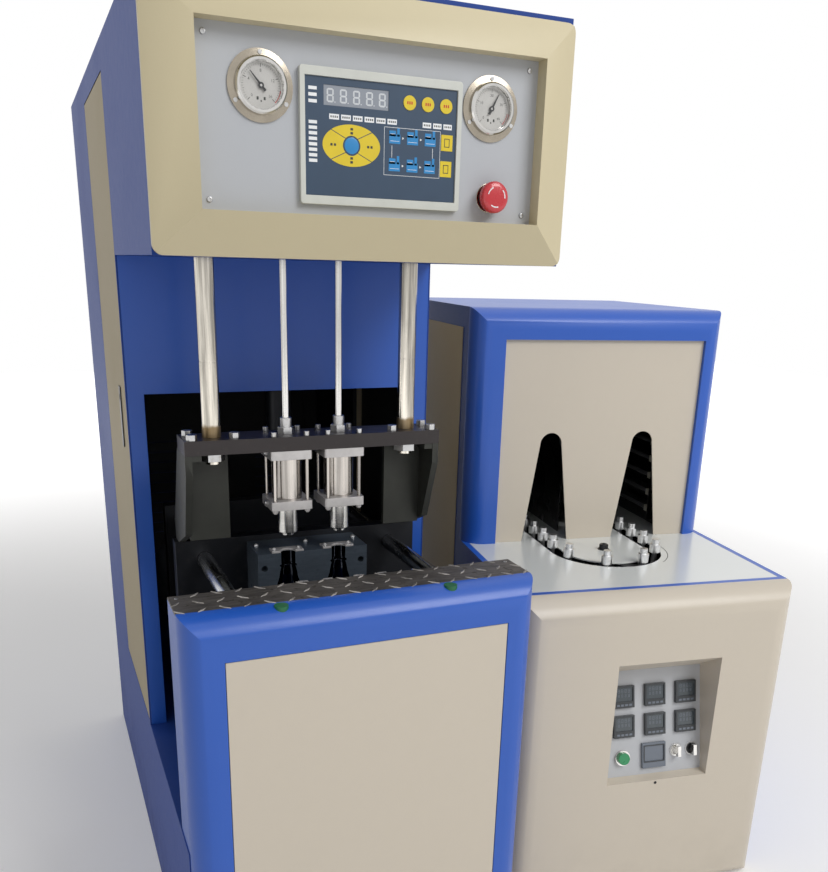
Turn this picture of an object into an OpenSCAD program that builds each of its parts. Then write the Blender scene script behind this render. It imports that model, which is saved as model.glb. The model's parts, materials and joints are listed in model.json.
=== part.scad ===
// Two-cavity stretch blow moulding machine for PET bottles: a blowing unit with a
// horizontal pull-rod clamp, and the infrared preform heater that stands beside it.
// X is right across the machine's front, +Y runs to its back and Z is up.
// The origin is on the floor, at the middle of the blowing cabinet's front.

/* [Blowing cabinet] */
// Width of the blowing unit
cab_w = 600; // [540:10:680]
// Depth of the tall cabinet behind its front sheet
cab_d = 774; // [700:10:900]
// Height of the blowing unit
cab_h = 1608; // [1580:5:1660]
// Thickness of the sheet-metal walls
sheet = 3; // [2:0.5:4]
// Height of the base box
base_h = 361; // [340:1:370]
// Width of the opening in the front sheet
opening_w = 535; // [500:5:540]
// Height of the opening above the base
opening_z = 674; // [659:5:699]
// Side door: distance of its front edge from the cabinet's front
door_front = 8; // [6:1:30]
// Side door: width
door_w = 382; // [340:2:420]
// Side door: height
door_h = 1190; // [1100:10:1200]
// Gap round the side door
door_gap = 2; // [1:0.5:4]

/* [Head] */
// Height of the head, up to the cabinet's top
head_z = 332; // [308:1:348]
// How far the head stands out over the press
head_d = 473; // [440:1:500]
// Height of the moulded bezel
bezel_h = 324; // [310:1:330]
// Width of the bezel's sloping face at the sides
bezel_side = 60; // [50:1:70]
// Width of the bezel's sloping face at the bottom
bezel_bottom = 56; // [50:1:70]
// Width of the bezel's sloping face at the top
bezel_top = 54; // [45:1:70]
// How far the bezel's inner edge stands out
bezel_out = 37; // [30:1:45]
// Depth of the grey panel behind the bezel's inner edge
panel_recess = 24; // [16:1:30]
// Thickness of the head's floor plate
head_floor = 12; // [8:1:16]

/* [Head panel] */
// Left gauge position from the middle
gauge_left_x = -157; // [-165:1:-150]
// Right gauge position from the middle
gauge_right_x = 167; // [162:1:175]
// Height of the gauges in the head
gauge_z = 204; // [184:1:214]
// Diameter of a gauge's flange
gauge_flange = 84; // [80:1:88]
// Diameter of a gauge's case
gauge_case = 66; // [60:1:70]
// Width of the controller
ctrl_w = 229; // [210:1:235]
// Height of the controller
ctrl_h = 163; // [140:1:170]
// Middle of the controller from the machine's middle
ctrl_x = 6.5; // [0:0.5:12]
// Height of the controller's middle in the head
ctrl_z = 151; // [144:1:164]
// Emergency stop position from the middle
stop_x = 171; // [165:1:180]
// Height of the emergency stop in the head
stop_z = 90; // [84:1:99]
// Diameter of the emergency stop's mushroom
stop_d = 42; // [36:1:50]

/* [Blowing station] */
// Distance between the two bottle axes
cavity_pitch = 98; // [90:1:110]
// Distance of the bottle axes in front of the cabinet
station_y = 175; // [165:1:185]
// Distance between the two pillars
pillar_pitch = 360; // [330:2:380]
// Diameter of a pillar
pillar_d = 32; // [28:1:36]
// Length of the crossbeam
beam_w = 466; // [440:2:480]
// Depth of the crossbeam
beam_d = 76; // [70:1:84]
// Thickness of the crossbeam
beam_t = 25; // [20:1:30]
// Underside of the crossbeam above the base
beam_z = 598; // [579:1:609]
// Diameter of a stretch rod
rod_d = 12; // [10:1:14]
// Stroke of the stretch rods
stretch_stroke = 245; // [200:5:245]
// Side of a seal cylinder's square cap
seal_cap = 75; // [70:1:80]
// Thickness of a seal cylinder's caps
seal_cap_t = 16; // [12:1:20]
// Outer diameter of a seal cylinder's tube
seal_tube_d = 54; // [50:1:58]
// Length of a seal cylinder with its caps
seal_len = 107; // [100:1:120]
// Diameter of a blow nozzle
nozzle_d = 37; // [30:1:40]
// How far a blow nozzle stands out below its cylinder at rest
nozzle_out = 49; // [46:1:56]
// Stroke of a blow nozzle
nozzle_stroke = 36; // [30:1:36]

/* [Clamp] */
// Width of a mould half
mould_w = 212; // [200:2:230]
// Height of a mould half
mould_h = 250; // [240:2:260]
// Thickness of a mould half
mould_t = 90; // [80:1:95]
// Height of the mould's top face above the base
mould_z = 401; // [389:1:403]
// Width of the platens
platen_w = 480; // [450:2:500]
// Thickness of the platens
platen_t = 30; // [24:1:32]
// Height of the platens' top edge above the base
platen_z = 412; // [405:1:413]
// Distance between the tie bars, side to side
bar_pitch_x = 372; // [360:2:390]
// Height of the upper tie bars above the base
bar_high = 374; // [359:1:379]
// Height of the lower tie bars above the base
bar_low = 74; // [59:1:99]
// Diameter of a tie bar
bar_d = 30; // [26:1:34]
// Opening stroke of the clamp
clamp_stroke = 170; // [150:1:170]
// Diameter of the clamp cylinder
clamp_d = 130; // [110:2:150]
// Diameter of the clamp cylinder's rod
clamp_rod_d = 50; // [40:1:60]
// Diameter of a bottle's body in the mould
bottle_d = 65; // [60:1:75]
// Height of a bottle below the mould's top face
bottle_h = 206; // [190:2:206]
// Diameter of a bottle's neck
neck_d = 27; // [24:1:30]

/* [Front box] */
// Distance of the front box's frame plane from the cabinet's front
box_y = 461; // [455:1:470]
// Height of the front box's top above the base
box_z = 417; // [415:1:429]
// Depth of the box behind its frame
box_d = 77; // [70:1:85]
// How far the moulded frame stands out
frame_out = 46; // [40:1:50]
// Radius of the moulded frame's round edge
frame_r = 46; // [38:1:50]
// Width of the moulded frame at the sides
frame_side = 61; // [56:1:70]
// Width of the moulded frame at the top
frame_top = 68; // [60:1:75]
// Distance of a start button from the middle
start_x = 142; // [120:1:160]

/* [Heater] */
// Gap between the two units at the front
unit_gap = 46.2; // [40:0.2:80]
// Setback of the heater's front corner from the cabinet's front
heater_y = -345.6; // [-360:0.2:-300]
// Turn of the heater about the vertical
heater_turn = -8.8; // [-8.9:0.1:0]
// Width of the heater
heat_w = 584; // [560:2:620]
// Depth of the heater
heat_d = 900; // [880:10:960]
// Height of the table
table_z = 687; // [670:1:700]
// Distance of the hood's front from the table's front edge
hood_v = 329; // [324:1:340]
// Height of the hood above the table
hood_h = 507; // [480:1:540]
// Width of the hood's frame at the left
hood_left = 69; // [60:1:75]
// Width of the hood's frame at the right
hood_right = 49; // [47:1:60]
// Width of the hood's frame at the top
hood_top = 63; // [55:1:70]
// How far the lower cover stands out
cover_out = 50; // [45:1:55]
// Width of the lower panel's recess
recess_w = 224; // [210:1:230]
// Left edge of the recess
recess_u = 200; // [190:1:210]

/* [Conveyor] */
// Pitch of the roller chain
chain_pitch = 19.05; // [19:0.05:19.1]
// Links between two preform carriers
carrier_links = 3; // [3:1:3]
// Carriers round a full turn of a chain wheel
carriers_per_turn = 8; // [8:1:8]
// Carrier pitches between the two chain wheels
straight_carriers = 8; // [8:1:8]
// Radius of the preform path round a chain wheel
path_r = 110; // [106:1:112]
// Middle of the loop across the heater
loop_u = 295; // [292:1:298]
// Middle of the front chain wheel behind the table's front edge
loop_v = 250; // [248:1:256]
// Width of the slot for the preform holders
slot_w = 28; // [28:1:32]
// Diameter of a preform holder
holder_d = 23; // [20:1:24]

/* [Hidden] */

// Colours, as the machine is painted
blue = "#2f56c4";
cream = "#d9cfae";
pale = "#c9d0dc";
steel = "#c8c9cc";
dark = "#2b2d31";
navy = "#24345c";
black = "#15161a";
white = "#eceeea";
yellow = "#e8cf2c";
red = "#d8303c";
green = "#15803f";

// Fits and small clearances shared by the mating pieces
run = 0.05;
free = 0.3;
eps = 0.01;
over = 1;

// Blowing cabinet
half_w = cab_w / 2;
door_x = -half_w;
door_z = base_h + 10;
door_fold = 16;
door_pin_r = 3;
door_pin_x = door_x + 5;
door_pin_in = 8;
door_pin_len = 5;
door_back = door_front + door_w;
jamb = 12;
hose_r = 30;
tank_r = 95;
hose_x = 250;
side_w = door_w + 2 * door_gap;
side_h = door_h + 2 * door_gap;
rear_w = cab_w - 80;
rear_z = base_h + 40;
rear_h = cab_h - rear_z - 50;

// Head
head_low = cab_h - head_z;
head_y = -head_d;
bezel_w = cab_w;
bezel_z = cab_h - bezel_h - 8;
inner_x0 = -half_w + bezel_side;
inner_x1 = half_w - bezel_side;
inner_z0 = bezel_z + bezel_bottom;
inner_z1 = bezel_z + bezel_h - bezel_top;
panel_y = head_y - bezel_out + panel_recess;
gauge_at = head_low + gauge_z;
ctrl_at = head_low + ctrl_z;
stop_at = head_low + stop_z;
floor_back = 110;

// Blowing station
axis_x = cavity_pitch / 2;
axis_y = -station_y;
beam_low = base_h + beam_z;
beam_top = beam_low + beam_t;
pillar_x = pillar_pitch / 2;
pillar_top = cab_h - 20;
ring_z = head_low - 165;
nut_t = 16;
gland_h = 28;
gland_af = 26;
seal_bottom = beam_low - seal_len;
seal_bore_r = seal_tube_d / 2 - 5;
nozzle_r = nozzle_d / 2;
nozzle_bottom = seal_bottom - nozzle_out;
nozzle_bore_r = rod_d / 2 + 1;
piston_t = 14;
piston_z = seal_bottom + seal_cap_t + nozzle_stroke + 2;
tie_rod_r = 3;
tie_rod_x = seal_cap / 2 - 8;
stretch_top = pillar_top - 20;
stretch_t = 30;
stretch_z = stretch_top - stretch_t;
bush_r = 26;
rod_tip = nozzle_bottom + 8;
cyl_y = 62;
cyl_cap = 60;
cyl_bottom = head_low - 360;
piston_rod_r = 8;

// Clamp
face_y = axis_y;
rear_face = face_y + mould_t;
rear_back = rear_face + platen_t;
open_face = face_y - clamp_stroke;
front_back = open_face - mould_t;
front_front = front_back - platen_t;
bar_x = bar_pitch_x / 2;
bar_r = bar_d / 2;
bar_nut_t = 16;
bar_nut_af = 44;
mould_top = base_h + mould_z;
mould_bottom = mould_top - mould_h;
platen_top = base_h + platen_z;
clamp_len = 260;
bar_up = base_h + bar_high;
bar_down = base_h + bar_low;
clamp_z = (bar_up + bar_down) / 2;
clamp_end = rear_back + clamp_len;
tail_front = clamp_end + 12;
tail_back = tail_front + platen_t;
bar_front = front_front - bar_nut_t - 4;
bar_back = tail_back + bar_nut_t + 4;
clamp_rod_r = clamp_rod_d / 2;

// Front box
frame_y = -box_y;
box_top = base_h + box_z;
plate_t = 4;
front_w = cab_w - 4;
panel_out_y = frame_y - frame_out;
start_y = frame_y - 14;
window_x = front_w / 2 - frame_side;
window_z = 40;
window_h = box_top - frame_top - window_z;

// Heater, in its own frame: u right along the table's front edge, v to the back
heat_x = half_w + unit_gap;
table_t = 3;
rim = 13;
hood_r = 46;
hood_inner_w = heat_w - hood_left - hood_right;
slot_shift = 4;
lamp_u = 100;
lamp_v = hood_v + 71;
lamp_len = 460;
lamp_z = table_z + 45;
lamp_pitch = 40;
cover_r = cover_out;
recess_gap = 30;
recess_z0 = 282;
recess_z1 = 548;
board_v0 = -28;
board_z0 = 285;
board_v1 = 22;
board_z1 = 500;
board_t = 3;
board_tilt = atan((board_v1 - board_v0) / (board_z1 - board_z0));
board_len = (board_z1 - board_z0) / cos(board_tilt);
run_u = recess_u + 44;
meter_u = recess_u + 114;
selector_u1 = recess_u + 167;
selector_u2 = recess_u + 203;
module_pitch = 70;
module_size = 46;
module_u = recess_u + 47;
module_s1 = 168;
module_s2 = 106;
switch_s = 40;
slot_r_top = 25;
slot_half_bottom = 55;
slot_apex = 245;

// Conveyor
wheel_teeth = carrier_links * carriers_per_turn;
wheel_r = chain_pitch / 2 / sin(180 / wheel_teeth);
carrier_pitch = carrier_links * chain_pitch;
run_len = straight_carriers * carrier_pitch;
rear_v = loop_v + run_len;
chain_z = table_z - 62;
roller_r = 5.9;
notch_r = roller_r + 0.35;
notch_half = 9.5;
link_t = 2;
shaft_r = 10;
frame_plate_z = chain_z - 40;
frame_plate_t = 8;

// Rectangle of width w and height h with round corners
module round_rect(w, h, r) {
    translate([r, 0])
        square([w - 2 * r, h]);
    translate([0, r])
        square([w, h - 2 * r]);
    for (x = [r, w - r], y = [r, h - r])
        translate([x, y])
            circle(r = r, $fn = 32);
}

// Plate in the XZ plane: an outline in x and z that runs back from y = 0
module standing(t) {
    translate([0, t, 0])
        rotate([90, 0, 0])
            linear_extrude(t)
                children();
}

// Cylinder along Y, from y = 0 towards +Y
module rod_y(r, len, fn = 48) {
    rotate([-90, 0, 0])
        cylinder(r = r, h = len, $fn = fn);
}

// Hexagon prism with the given width across flats
module hexagon(af, h) {
    cylinder(r = af / 2 / cos(30), h = h, $fn = 6);
}

// Cross-section of a slab with round front edges, the front towards -y
module bull_profile(w, d, r, back) {
    if (d - r + back > 0)
        translate([0, -d + r])
            square([w, d - r + back]);
    translate([r, -d])
        square([w - 2 * r, r + eps]);
    for (x = [r, w - r])
        translate([x, -d + r])
            circle(r = r, $fn = 48);
}

// Slab of width w and height h standing out d in front of y = 0, with round front
// edges on all four sides that meet in mitres
module bull_slab(w, h, d, r, back = 0) {
    intersection() {
        linear_extrude(h)
            bull_profile(w, d, r, back);
        translate([0, 0, h])
            rotate([0, 90, 0])
                linear_extrude(w)
                    bull_profile(h, d, r, back);
        translate([0, -d, 0])
            cube([w, d + back, h]);
    }
}

// Cross-section of the bezel: sloping faces that narrow to the front
module slope_profile(w, low, high, d, lip) {
    polygon([
        [0, 0], [0, -lip], [low, -d], [w - high, -d], [w, -lip], [w, 0]
    ]);
}

// Bezel body, w wide and h high, its four sloping faces meeting in mitres
module slope_slab(w, h, side, bottom, top, d, lip) {
    intersection() {
        linear_extrude(h)
            slope_profile(w, side, side, d, lip);
        translate([0, 0, h])
            rotate([0, 90, 0])
                linear_extrude(w)
                    slope_profile(h, top, bottom, d, lip);
        translate([0, -d - over, 0])
            standing(d + 2 * over)
                round_rect(w, h, 14);
    }
}

// Base box with its deck, open under the cabinet for the hoses
module blower_base() {
    color(blue)
        difference() {
            translate([-half_w, -box_y, 0])
                cube([cab_w, box_y + cab_d, base_h]);
            translate([-half_w + sheet, -box_y + sheet, 5])
                cube([cab_w - 2 * sheet, box_y + cab_d - 2 * sheet, base_h - 5 - 8]);
            for (x = [-hose_x, hose_x])
                translate([x, cab_d - 120, base_h - 8 - over])
                    cylinder(r = hose_r, h = 8 + 2 * over, $fn = 48);
        }
}

// Opening for a side door or panel, with room all round it
module door_hole(x0, x1) {
    translate([x0, door_front - door_gap, door_z - door_gap])
        cube([x1 - x0, side_w, side_h]);
}

// Folded jamb round a side opening, on the wall whose outside is at x
module door_jamb(x, side) {
    x0 = side < 0 ? x : x - door_fold - 8;
    difference() {
        translate([x0, sheet, base_h])
            cube([door_fold + 8, door_back + door_gap + jamb - sheet, door_h + 10 + door_gap + jamb]);
        translate([x0 - over, door_front - door_gap, door_z - door_gap])
            cube([door_fold + 8 + 2 * over, side_w, side_h]);
        translate([x0 + (side < 0 ? sheet : -over), -over, door_z + 30])
            cube([door_fold + 5 + 2 * over, door_front + 2 * over, door_h - 60]);
    }
}

// Welded cabinet: side walls with their door openings, rear wall and top
module cabinet_shell() {
    color(blue)
        difference() {
            union() {
                difference() {
                    translate([-half_w, 0, base_h])
                        cube([cab_w, cab_d, cab_h - base_h]);
                    translate([-half_w + sheet, -over, base_h - over])
                        cube([cab_w - 2 * sheet, cab_d + over - sheet, cab_h - base_h - sheet + over]);
                    door_hole(-half_w - over, -half_w + sheet + over);
                    door_hole(half_w - sheet - over, half_w + over);
                    translate([-rear_w / 2, cab_d - sheet - over, rear_z])
                        cube([rear_w, sheet + 2 * over, rear_h]);
                }
                door_jamb(-half_w, -1);
                door_jamb(half_w, 1);
            }
            for (z = [door_z - door_gap - door_pin_len - over, door_z + door_h + door_gap - over])
                translate([door_pin_x, door_back - door_pin_in, z])
                    cylinder(r = door_pin_r + run, h = door_pin_len + 2 * over, $fn = 32);
        }
}

// Side door: folded sheet with pivot pins at its rear corners and a flat lock
module side_door() {
    color(cream)
        difference() {
            translate([door_x, door_front, door_z])
                cube([door_fold, door_w, door_h]);
            translate([door_x + sheet, door_front + sheet, door_z + sheet])
                cube([door_fold, door_w - 2 * sheet - 16, door_h - 2 * sheet]);
        }
    color(steel)
        for (z = [door_z - door_gap - door_pin_len, door_z + door_h - eps])
            translate([door_pin_x, door_back - door_pin_in, z])
                cylinder(r = door_pin_r, h = door_pin_len + door_gap + eps, $fn = 32);
    color(black)
        translate([door_x - 2.5, door_front + 70, door_z + 554])
            cube([2.5, 22, 115]);
}

// Fixed panels: the right side's plain panel and the rear panel with its louvres
module fixed_panels() {
    color(cream)
        translate([half_w - door_fold, door_front - door_gap, door_z - door_gap])
            difference() {
                cube([door_fold, side_w, side_h]);
                translate([-over, sheet, sheet])
                    cube([door_fold - sheet + over, side_w - 2 * sheet, side_h - 2 * sheet]);
            }
    color(blue)
        translate([-rear_w / 2 - 15, cab_d, rear_z - 15])
            difference() {
                cube([rear_w + 30, 2, rear_h + 30]);
                for (x = [100, rear_w - 130], i = [0:9])
                    translate([x, -over, 160 + 28 * i])
                        cube([110, 2 + 2 * over, 6]);
                for (x = [100, rear_w - 130], i = [0:9])
                    translate([x, -over, rear_h - 420 + 28 * i])
                        cube([110, 2 + 2 * over, 6]);
            }
}

// Front sheet with the opening for the press
module front_sheet() {
    color(blue)
        difference() {
            translate([-half_w + sheet, 0, base_h])
                cube([cab_w - 2 * sheet, sheet, head_low - base_h]);
            translate([-opening_w / 2, -over, base_h - over])
                cube([opening_w, sheet + 2 * over, opening_z + over]);
        }
}

// Head: two sides and a top of folded sheet over a thick floor plate, which holds
// the pillars and the stretch cylinder
module head_shell() {
    color(blue)
        difference() {
            union() {
                difference() {
                    translate([-half_w, head_y, head_low])
                        cube([cab_w, head_d, cab_h - head_low]);
                    translate([-half_w + sheet, head_y - over, head_low - over])
                        cube([cab_w - 2 * sheet, head_d + 2 * over, cab_h - head_low - sheet + over]);
                }
                translate([-half_w + sheet, head_y, head_low])
                    cube([cab_w - 2 * sheet, head_d + floor_back, head_floor]);
                translate([-half_w, head_y, bezel_z + bezel_h])
                    cube([cab_w, sheet, cab_h - bezel_z - bezel_h]);
            }
            for (x = [-pillar_x, pillar_x])
                translate([x, axis_y, head_low - over])
                    cylinder(r = pillar_d / 2, h = head_floor + 2 * over, $fn = 64);
            for (x = [-axis_x, axis_x])
                translate([x, axis_y, head_low - over])
                    cylinder(r = rod_d / 2 + 4, h = head_floor + 2 * over, $fn = 48);
            translate([0, cyl_y, head_low - over])
                cylinder(r = piston_rod_r + 4, h = head_floor + 2 * over, $fn = 48);
            for (s = [-1, 1])
                translate([s * (half_w - sheet - 12.5) - 12.5, -over, head_low - over])
                    cube([25, floor_back + 2 * over, head_floor + 2 * over]);
        }
}

// Moulded bezel round the head's panel
module head_bezel() {
    color(cream)
        translate([-half_w, head_y, bezel_z])
            difference() {
                slope_slab(bezel_w, bezel_h, bezel_side, bezel_bottom, bezel_top, bezel_out, 8);
                translate([0, 4, 0])
                    intersection() {
                        slope_slab(bezel_w, bezel_h, bezel_side, bezel_bottom, bezel_top, bezel_out, 8);
                        translate([4, -bezel_out, 4])
                            cube([bezel_w - 8, bezel_out + 8, bezel_h - 8]);
                    }
                translate([bezel_side, -bezel_out - over, bezel_bottom])
                    cube([bezel_w - 2 * bezel_side, bezel_out + 10, bezel_h - bezel_bottom - bezel_top]);
            }
    color(cream)
        translate([0, head_y - bezel_out, 0])
            difference() {
                translate([inner_x0 - 3, 0, inner_z0 - 3])
                    cube([inner_x1 - inner_x0 + 6, panel_recess, inner_z1 - inner_z0 + 6]);
                translate([inner_x0, -over, inner_z0])
                    cube([inner_x1 - inner_x0, bezel_out + 2 * over, inner_z1 - inner_z0]);
                translate([inner_x0 - 6, -over, inner_z0 - 6])
                    cube([inner_x1 - inner_x0 + 12, 3, inner_z1 - inner_z0 + 12]);
            }
}

// Grey panel behind the bezel, with the collar of the emergency stop
module control_panel() {
    color(pale)
        difference() {
            translate([inner_x0 - 8, panel_y, inner_z0 - 8])
                cube([inner_x1 - inner_x0 + 16, 3, inner_z1 - inner_z0 + 16]);
            for (x = [gauge_left_x, gauge_right_x])
                translate([x, panel_y - over, gauge_at])
                    rod_y(gauge_case / 2, 3 + 2 * over);
            translate([stop_x, panel_y - over, stop_at])
                rod_y(11.2, 3 + 2 * over);
        }
    color(black)
        translate([stop_x, panel_y, stop_at])
            difference() {
                translate([0, -6, 0])
                    rod_y(14, 6);
                translate([0, -6 - over, 0])
                    rod_y(9 + run, 6 + 2 * over);
            }
}

// Raised frame of the controller
module controller_frame() {
    color(white)
        translate([ctrl_x - ctrl_w / 2, panel_y - 8, ctrl_at - ctrl_h / 2])
            difference() {
                standing(8)
                    round_rect(ctrl_w, ctrl_h, 4);
                translate([7, -over, 11])
                    cube([ctrl_w - 14, 5, ctrl_h - 22]);
            }
}

// Membrane face of the controller with its display window, keys and key ring
module controller_face() {
    face = panel_y - 4;
    color(navy)
        translate([ctrl_x - ctrl_w / 2 + 7.3, face - 1.5, ctrl_at - ctrl_h / 2 + 11.3])
            difference() {
                cube([ctrl_w - 14.6, 1.5, ctrl_h - 22.6]);
                translate([25, -over, 108])
                    cube([90, 2, 24]);
            }
    color(yellow)
        for (x = [37.5, 64, 91])
            translate([ctrl_x + x, face - 2.5, ctrl_at + 50])
                rod_y(9, 1 + eps);
}

// Pressure gauges: a case with its flange, bezel ring and dial
module gauges() {
    for (x = [gauge_left_x, gauge_right_x])
        translate([x, panel_y, gauge_at]) {
            color(steel)
                rotate([90, 0, 0])
                    rotate_extrude($fn = 96)
                        polygon([
                            [0, -30], [gauge_case / 2 - 2, -30], [gauge_case / 2 - 2, 0],
                            [gauge_flange / 2, 0], [gauge_flange / 2, 2], [gauge_case / 2 + 1, 3],
                            [gauge_case / 2, 9], [gauge_case / 2 - 2, 11], [gauge_case / 2 - 5, 11],
                            [gauge_case / 2 - 5, 8.5], [gauge_case / 2 - 6, 8.5],
                            [gauge_case / 2 - 6, 4], [0, 4]
                        ]);
            color(dark)
                translate([0, -6.5, 0])
                    rod_y(1.5, 3);
            color(steel)
                for (a = [90, 210, 330])
                    translate([37.5 * cos(a), -4, 37.5 * sin(a)])
                        rod_y(2.6, 2.2, 24);
        }
}

// Window of each gauge
module gauge_glasses() {
    for (x = [gauge_left_x, gauge_right_x])
        color("#dfe8ee", 0.4)
            translate([x, panel_y - 10, gauge_at])
                rod_y(gauge_case / 2 - 5.1, 1.5, 64);
}

// Needle on its spindle, pointing at the given angle from straight up
module needle(x, angle) {
    color(black)
        translate([x, panel_y - 7, gauge_at])
            rotate([0, angle, 0])
                difference() {
                    union() {
                        standing(0.8)
                            polygon([[-1.6, -8], [1.6, -8], [0.4, 21], [-0.4, 21]]);
                        rod_y(3.5, 2);
                    }
                    translate([0, -over, 0])
                        rod_y(1.5 + run, 4, 24);
                }
}

module needle_left() {
    needle(gauge_left_x, -42);
}

module needle_right() {
    needle(gauge_right_x, 28);
}

// Emergency stop mushroom and its stem
module stop_button() {
    color(red)
        translate([stop_x, panel_y, stop_at])
            rotate([90, 0, 0])
                rotate_extrude($fn = 64)
                    polygon([
                        [0, -14], [9, -14], [9, 13], [stop_d / 2 - 1, 13], [stop_d / 2, 14.5],
                        [stop_d / 2, 20], [stop_d / 2 - 2, 23.5], [stop_d / 2 - 7, 25.5], [0, 26.5]
                    ]);
}

// Chromed pillars between the head's floor plate and the crossbeam
module guide_pillars() {
    color("#d8d9dc")
        for (x = [-pillar_x, pillar_x])
            translate([x, axis_y, beam_low - nut_t - 6])
                difference() {
                    union() {
                        cylinder(r = pillar_d / 2 - 4, h = beam_t + nut_t + 6, $fn = 64);
                        translate([0, 0, beam_t + nut_t + 6])
                            cylinder(r = pillar_d / 2, h = pillar_top - beam_top, $fn = 64);
                    }
                    translate([0, 0, ring_z - beam_low + nut_t + 6])
                        difference() {
                            cylinder(r = pillar_d, h = 1.5, $fn = 64);
                            translate([0, 0, -over])
                                cylinder(r = pillar_d / 2 - 0.6, h = 4, $fn = 64);
                        }
                }
}

// Gland nuts, pillar nuts, cylinder screws and bracket bolts of the crossbeam
module beam_fasteners() {
    color(steel) {
        for (x = [-axis_x, axis_x])
            translate([x, axis_y, beam_top])
                difference() {
                    union() {
                        hexagon(gland_af, gland_h - 16);
                        cylinder(r = 10.5, h = gland_h, $fn = 48);
                    }
                    translate([0, 0, -over])
                        cylinder(r = rod_d / 2 + run, h = gland_h + 2 * over, $fn = 48);
                }
        for (x = [-pillar_x, pillar_x])
            translate([x, axis_y, beam_low - nut_t])
                difference() {
                    hexagon(38, nut_t);
                    translate([0, 0, -over])
                        cylinder(r = pillar_d / 2 - 4, h = nut_t + 2 * over, $fn = 64);
                }
        for (s = [-1, 1], x = [-tie_rod_x, tie_rod_x], y = [-tie_rod_x, tie_rod_x])
            translate([s * axis_x + x, axis_y + y, beam_top])
                cylinder(r = 5, h = 8, $fn = 24);
        for (s = [-1, 1], y = [-28, 17])
            translate([s * (beam_w / 2 - 14), axis_y + y, beam_top])
                hexagon(16, 10);
        for (s = [-1, 1])
            translate([s * 145, axis_y - 22, beam_top])
                hexagon(16, 10);
    }
}

// Crossbeam that carries the seal cylinders
module crossbeam() {
    color(dark)
        difference() {
            translate([-beam_w / 2, axis_y - beam_d / 2, beam_low])
                cube([beam_w, beam_d, beam_t]);
            for (x = [-pillar_x, pillar_x])
                translate([x, axis_y, beam_low - over])
                    cylinder(r = pillar_d / 2 - 4, h = beam_t + 2 * over, $fn = 64);
            for (x = [-axis_x, axis_x])
                translate([x, axis_y, beam_low - over])
                    cylinder(r = nozzle_bore_r, h = beam_t + 2 * over, $fn = 48);
        }
}

// Welded angle brackets that carry the crossbeam's ends on the rear platen
module beam_brackets() {
    color("#3c423f")
        for (s = [-1, 1])
            translate([s * (beam_w / 2), 0, 0])
                mirror([s + 1, 0, 0]) {
                    translate([0, rear_face - over, 0])
                        rotate([90, 0, 90])
                            linear_extrude(12)
                                polygon([
                                    [over, platen_top], [platen_t + over, platen_top],
                                    [platen_t + over, platen_top + 40], [axis_y + beam_d / 2 - rear_face + 8, beam_low],
                                    [axis_y - beam_d / 2 - rear_face + 2, beam_low],
                                    [axis_y - beam_d / 2 - rear_face + 2, beam_low - 36],
                                    [axis_y - beam_d / 2 - rear_face + 44, beam_low - 150]
                                ]);
                    translate([12, axis_y + beam_d / 2 - 12, platen_top + 20])
                        cube([72, 12, beam_low - platen_top - 20]);
                    translate([12, axis_y - beam_d / 2 + 2, beam_low - 10])
                        cube([16, beam_d - 14, 10]);
                }
}

// Seal cylinders under the crossbeam, each with two caps, a tube and four tie rods
module seal_cylinders() {
    for (s = [-1, 1])
        translate([s * axis_x, axis_y, seal_bottom]) {
            color(steel)
                difference() {
                    union() {
                        for (z = [0, seal_len - seal_cap_t])
                            translate([-seal_cap / 2, -seal_cap / 2, z])
                                linear_extrude(seal_cap_t)
                                    round_rect(seal_cap, seal_cap, 5);
                        cylinder(r = seal_tube_d / 2, h = seal_len - eps, $fn = 72);
                        for (x = [-tie_rod_x, tie_rod_x], y = [-tie_rod_x, tie_rod_x])
                            translate([x, y, -7])
                                cylinder(r = tie_rod_r, h = seal_len, $fn = 24);
                        for (x = [-tie_rod_x, tie_rod_x], y = [-tie_rod_x, tie_rod_x])
                            translate([x, y, -5])
                                hexagon(9, 5 + eps);
                    }
                    translate([0, 0, -over])
                        cylinder(r = nozzle_r + run, h = seal_cap_t + 2 * over, $fn = 72);
                    translate([0, 0, seal_cap_t])
                        cylinder(r = seal_bore_r, h = seal_len - 2 * seal_cap_t, $fn = 72);
                    translate([0, 0, seal_len - seal_cap_t - over])
                        cylinder(r = nozzle_bore_r, h = seal_cap_t + 2 * over, $fn = 48);
                }
        }
}

// Blow nozzle: a hollow piston rod whose nose seals on the preform's neck
module nozzle(x) {
    color(steel)
        translate([x, axis_y, 0])
            difference() {
                union() {
                    translate([0, 0, nozzle_bottom])
                        cylinder(r1 = nozzle_r - 2, r2 = nozzle_r, h = 2, $fn = 72);
                    translate([0, 0, nozzle_bottom + 2])
                        cylinder(r = nozzle_r, h = piston_z - nozzle_bottom, $fn = 72);
                    translate([0, 0, piston_z])
                        cylinder(r = seal_bore_r - run, h = piston_t, $fn = 72);
                    translate([0, 0, nozzle_bottom - 5])
                        cylinder(r = neck_d / 2 - 2, h = 6, $fn = 48);
                }
                translate([0, 0, nozzle_bottom - 5 - over])
                    cylinder(r = nozzle_bore_r, h = piston_z + piston_t - nozzle_bottom + 20, $fn = 48);
            }
}

module nozzle_left() {
    nozzle(-axis_x);
}

module nozzle_right() {
    nozzle(axis_x);
}

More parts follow.
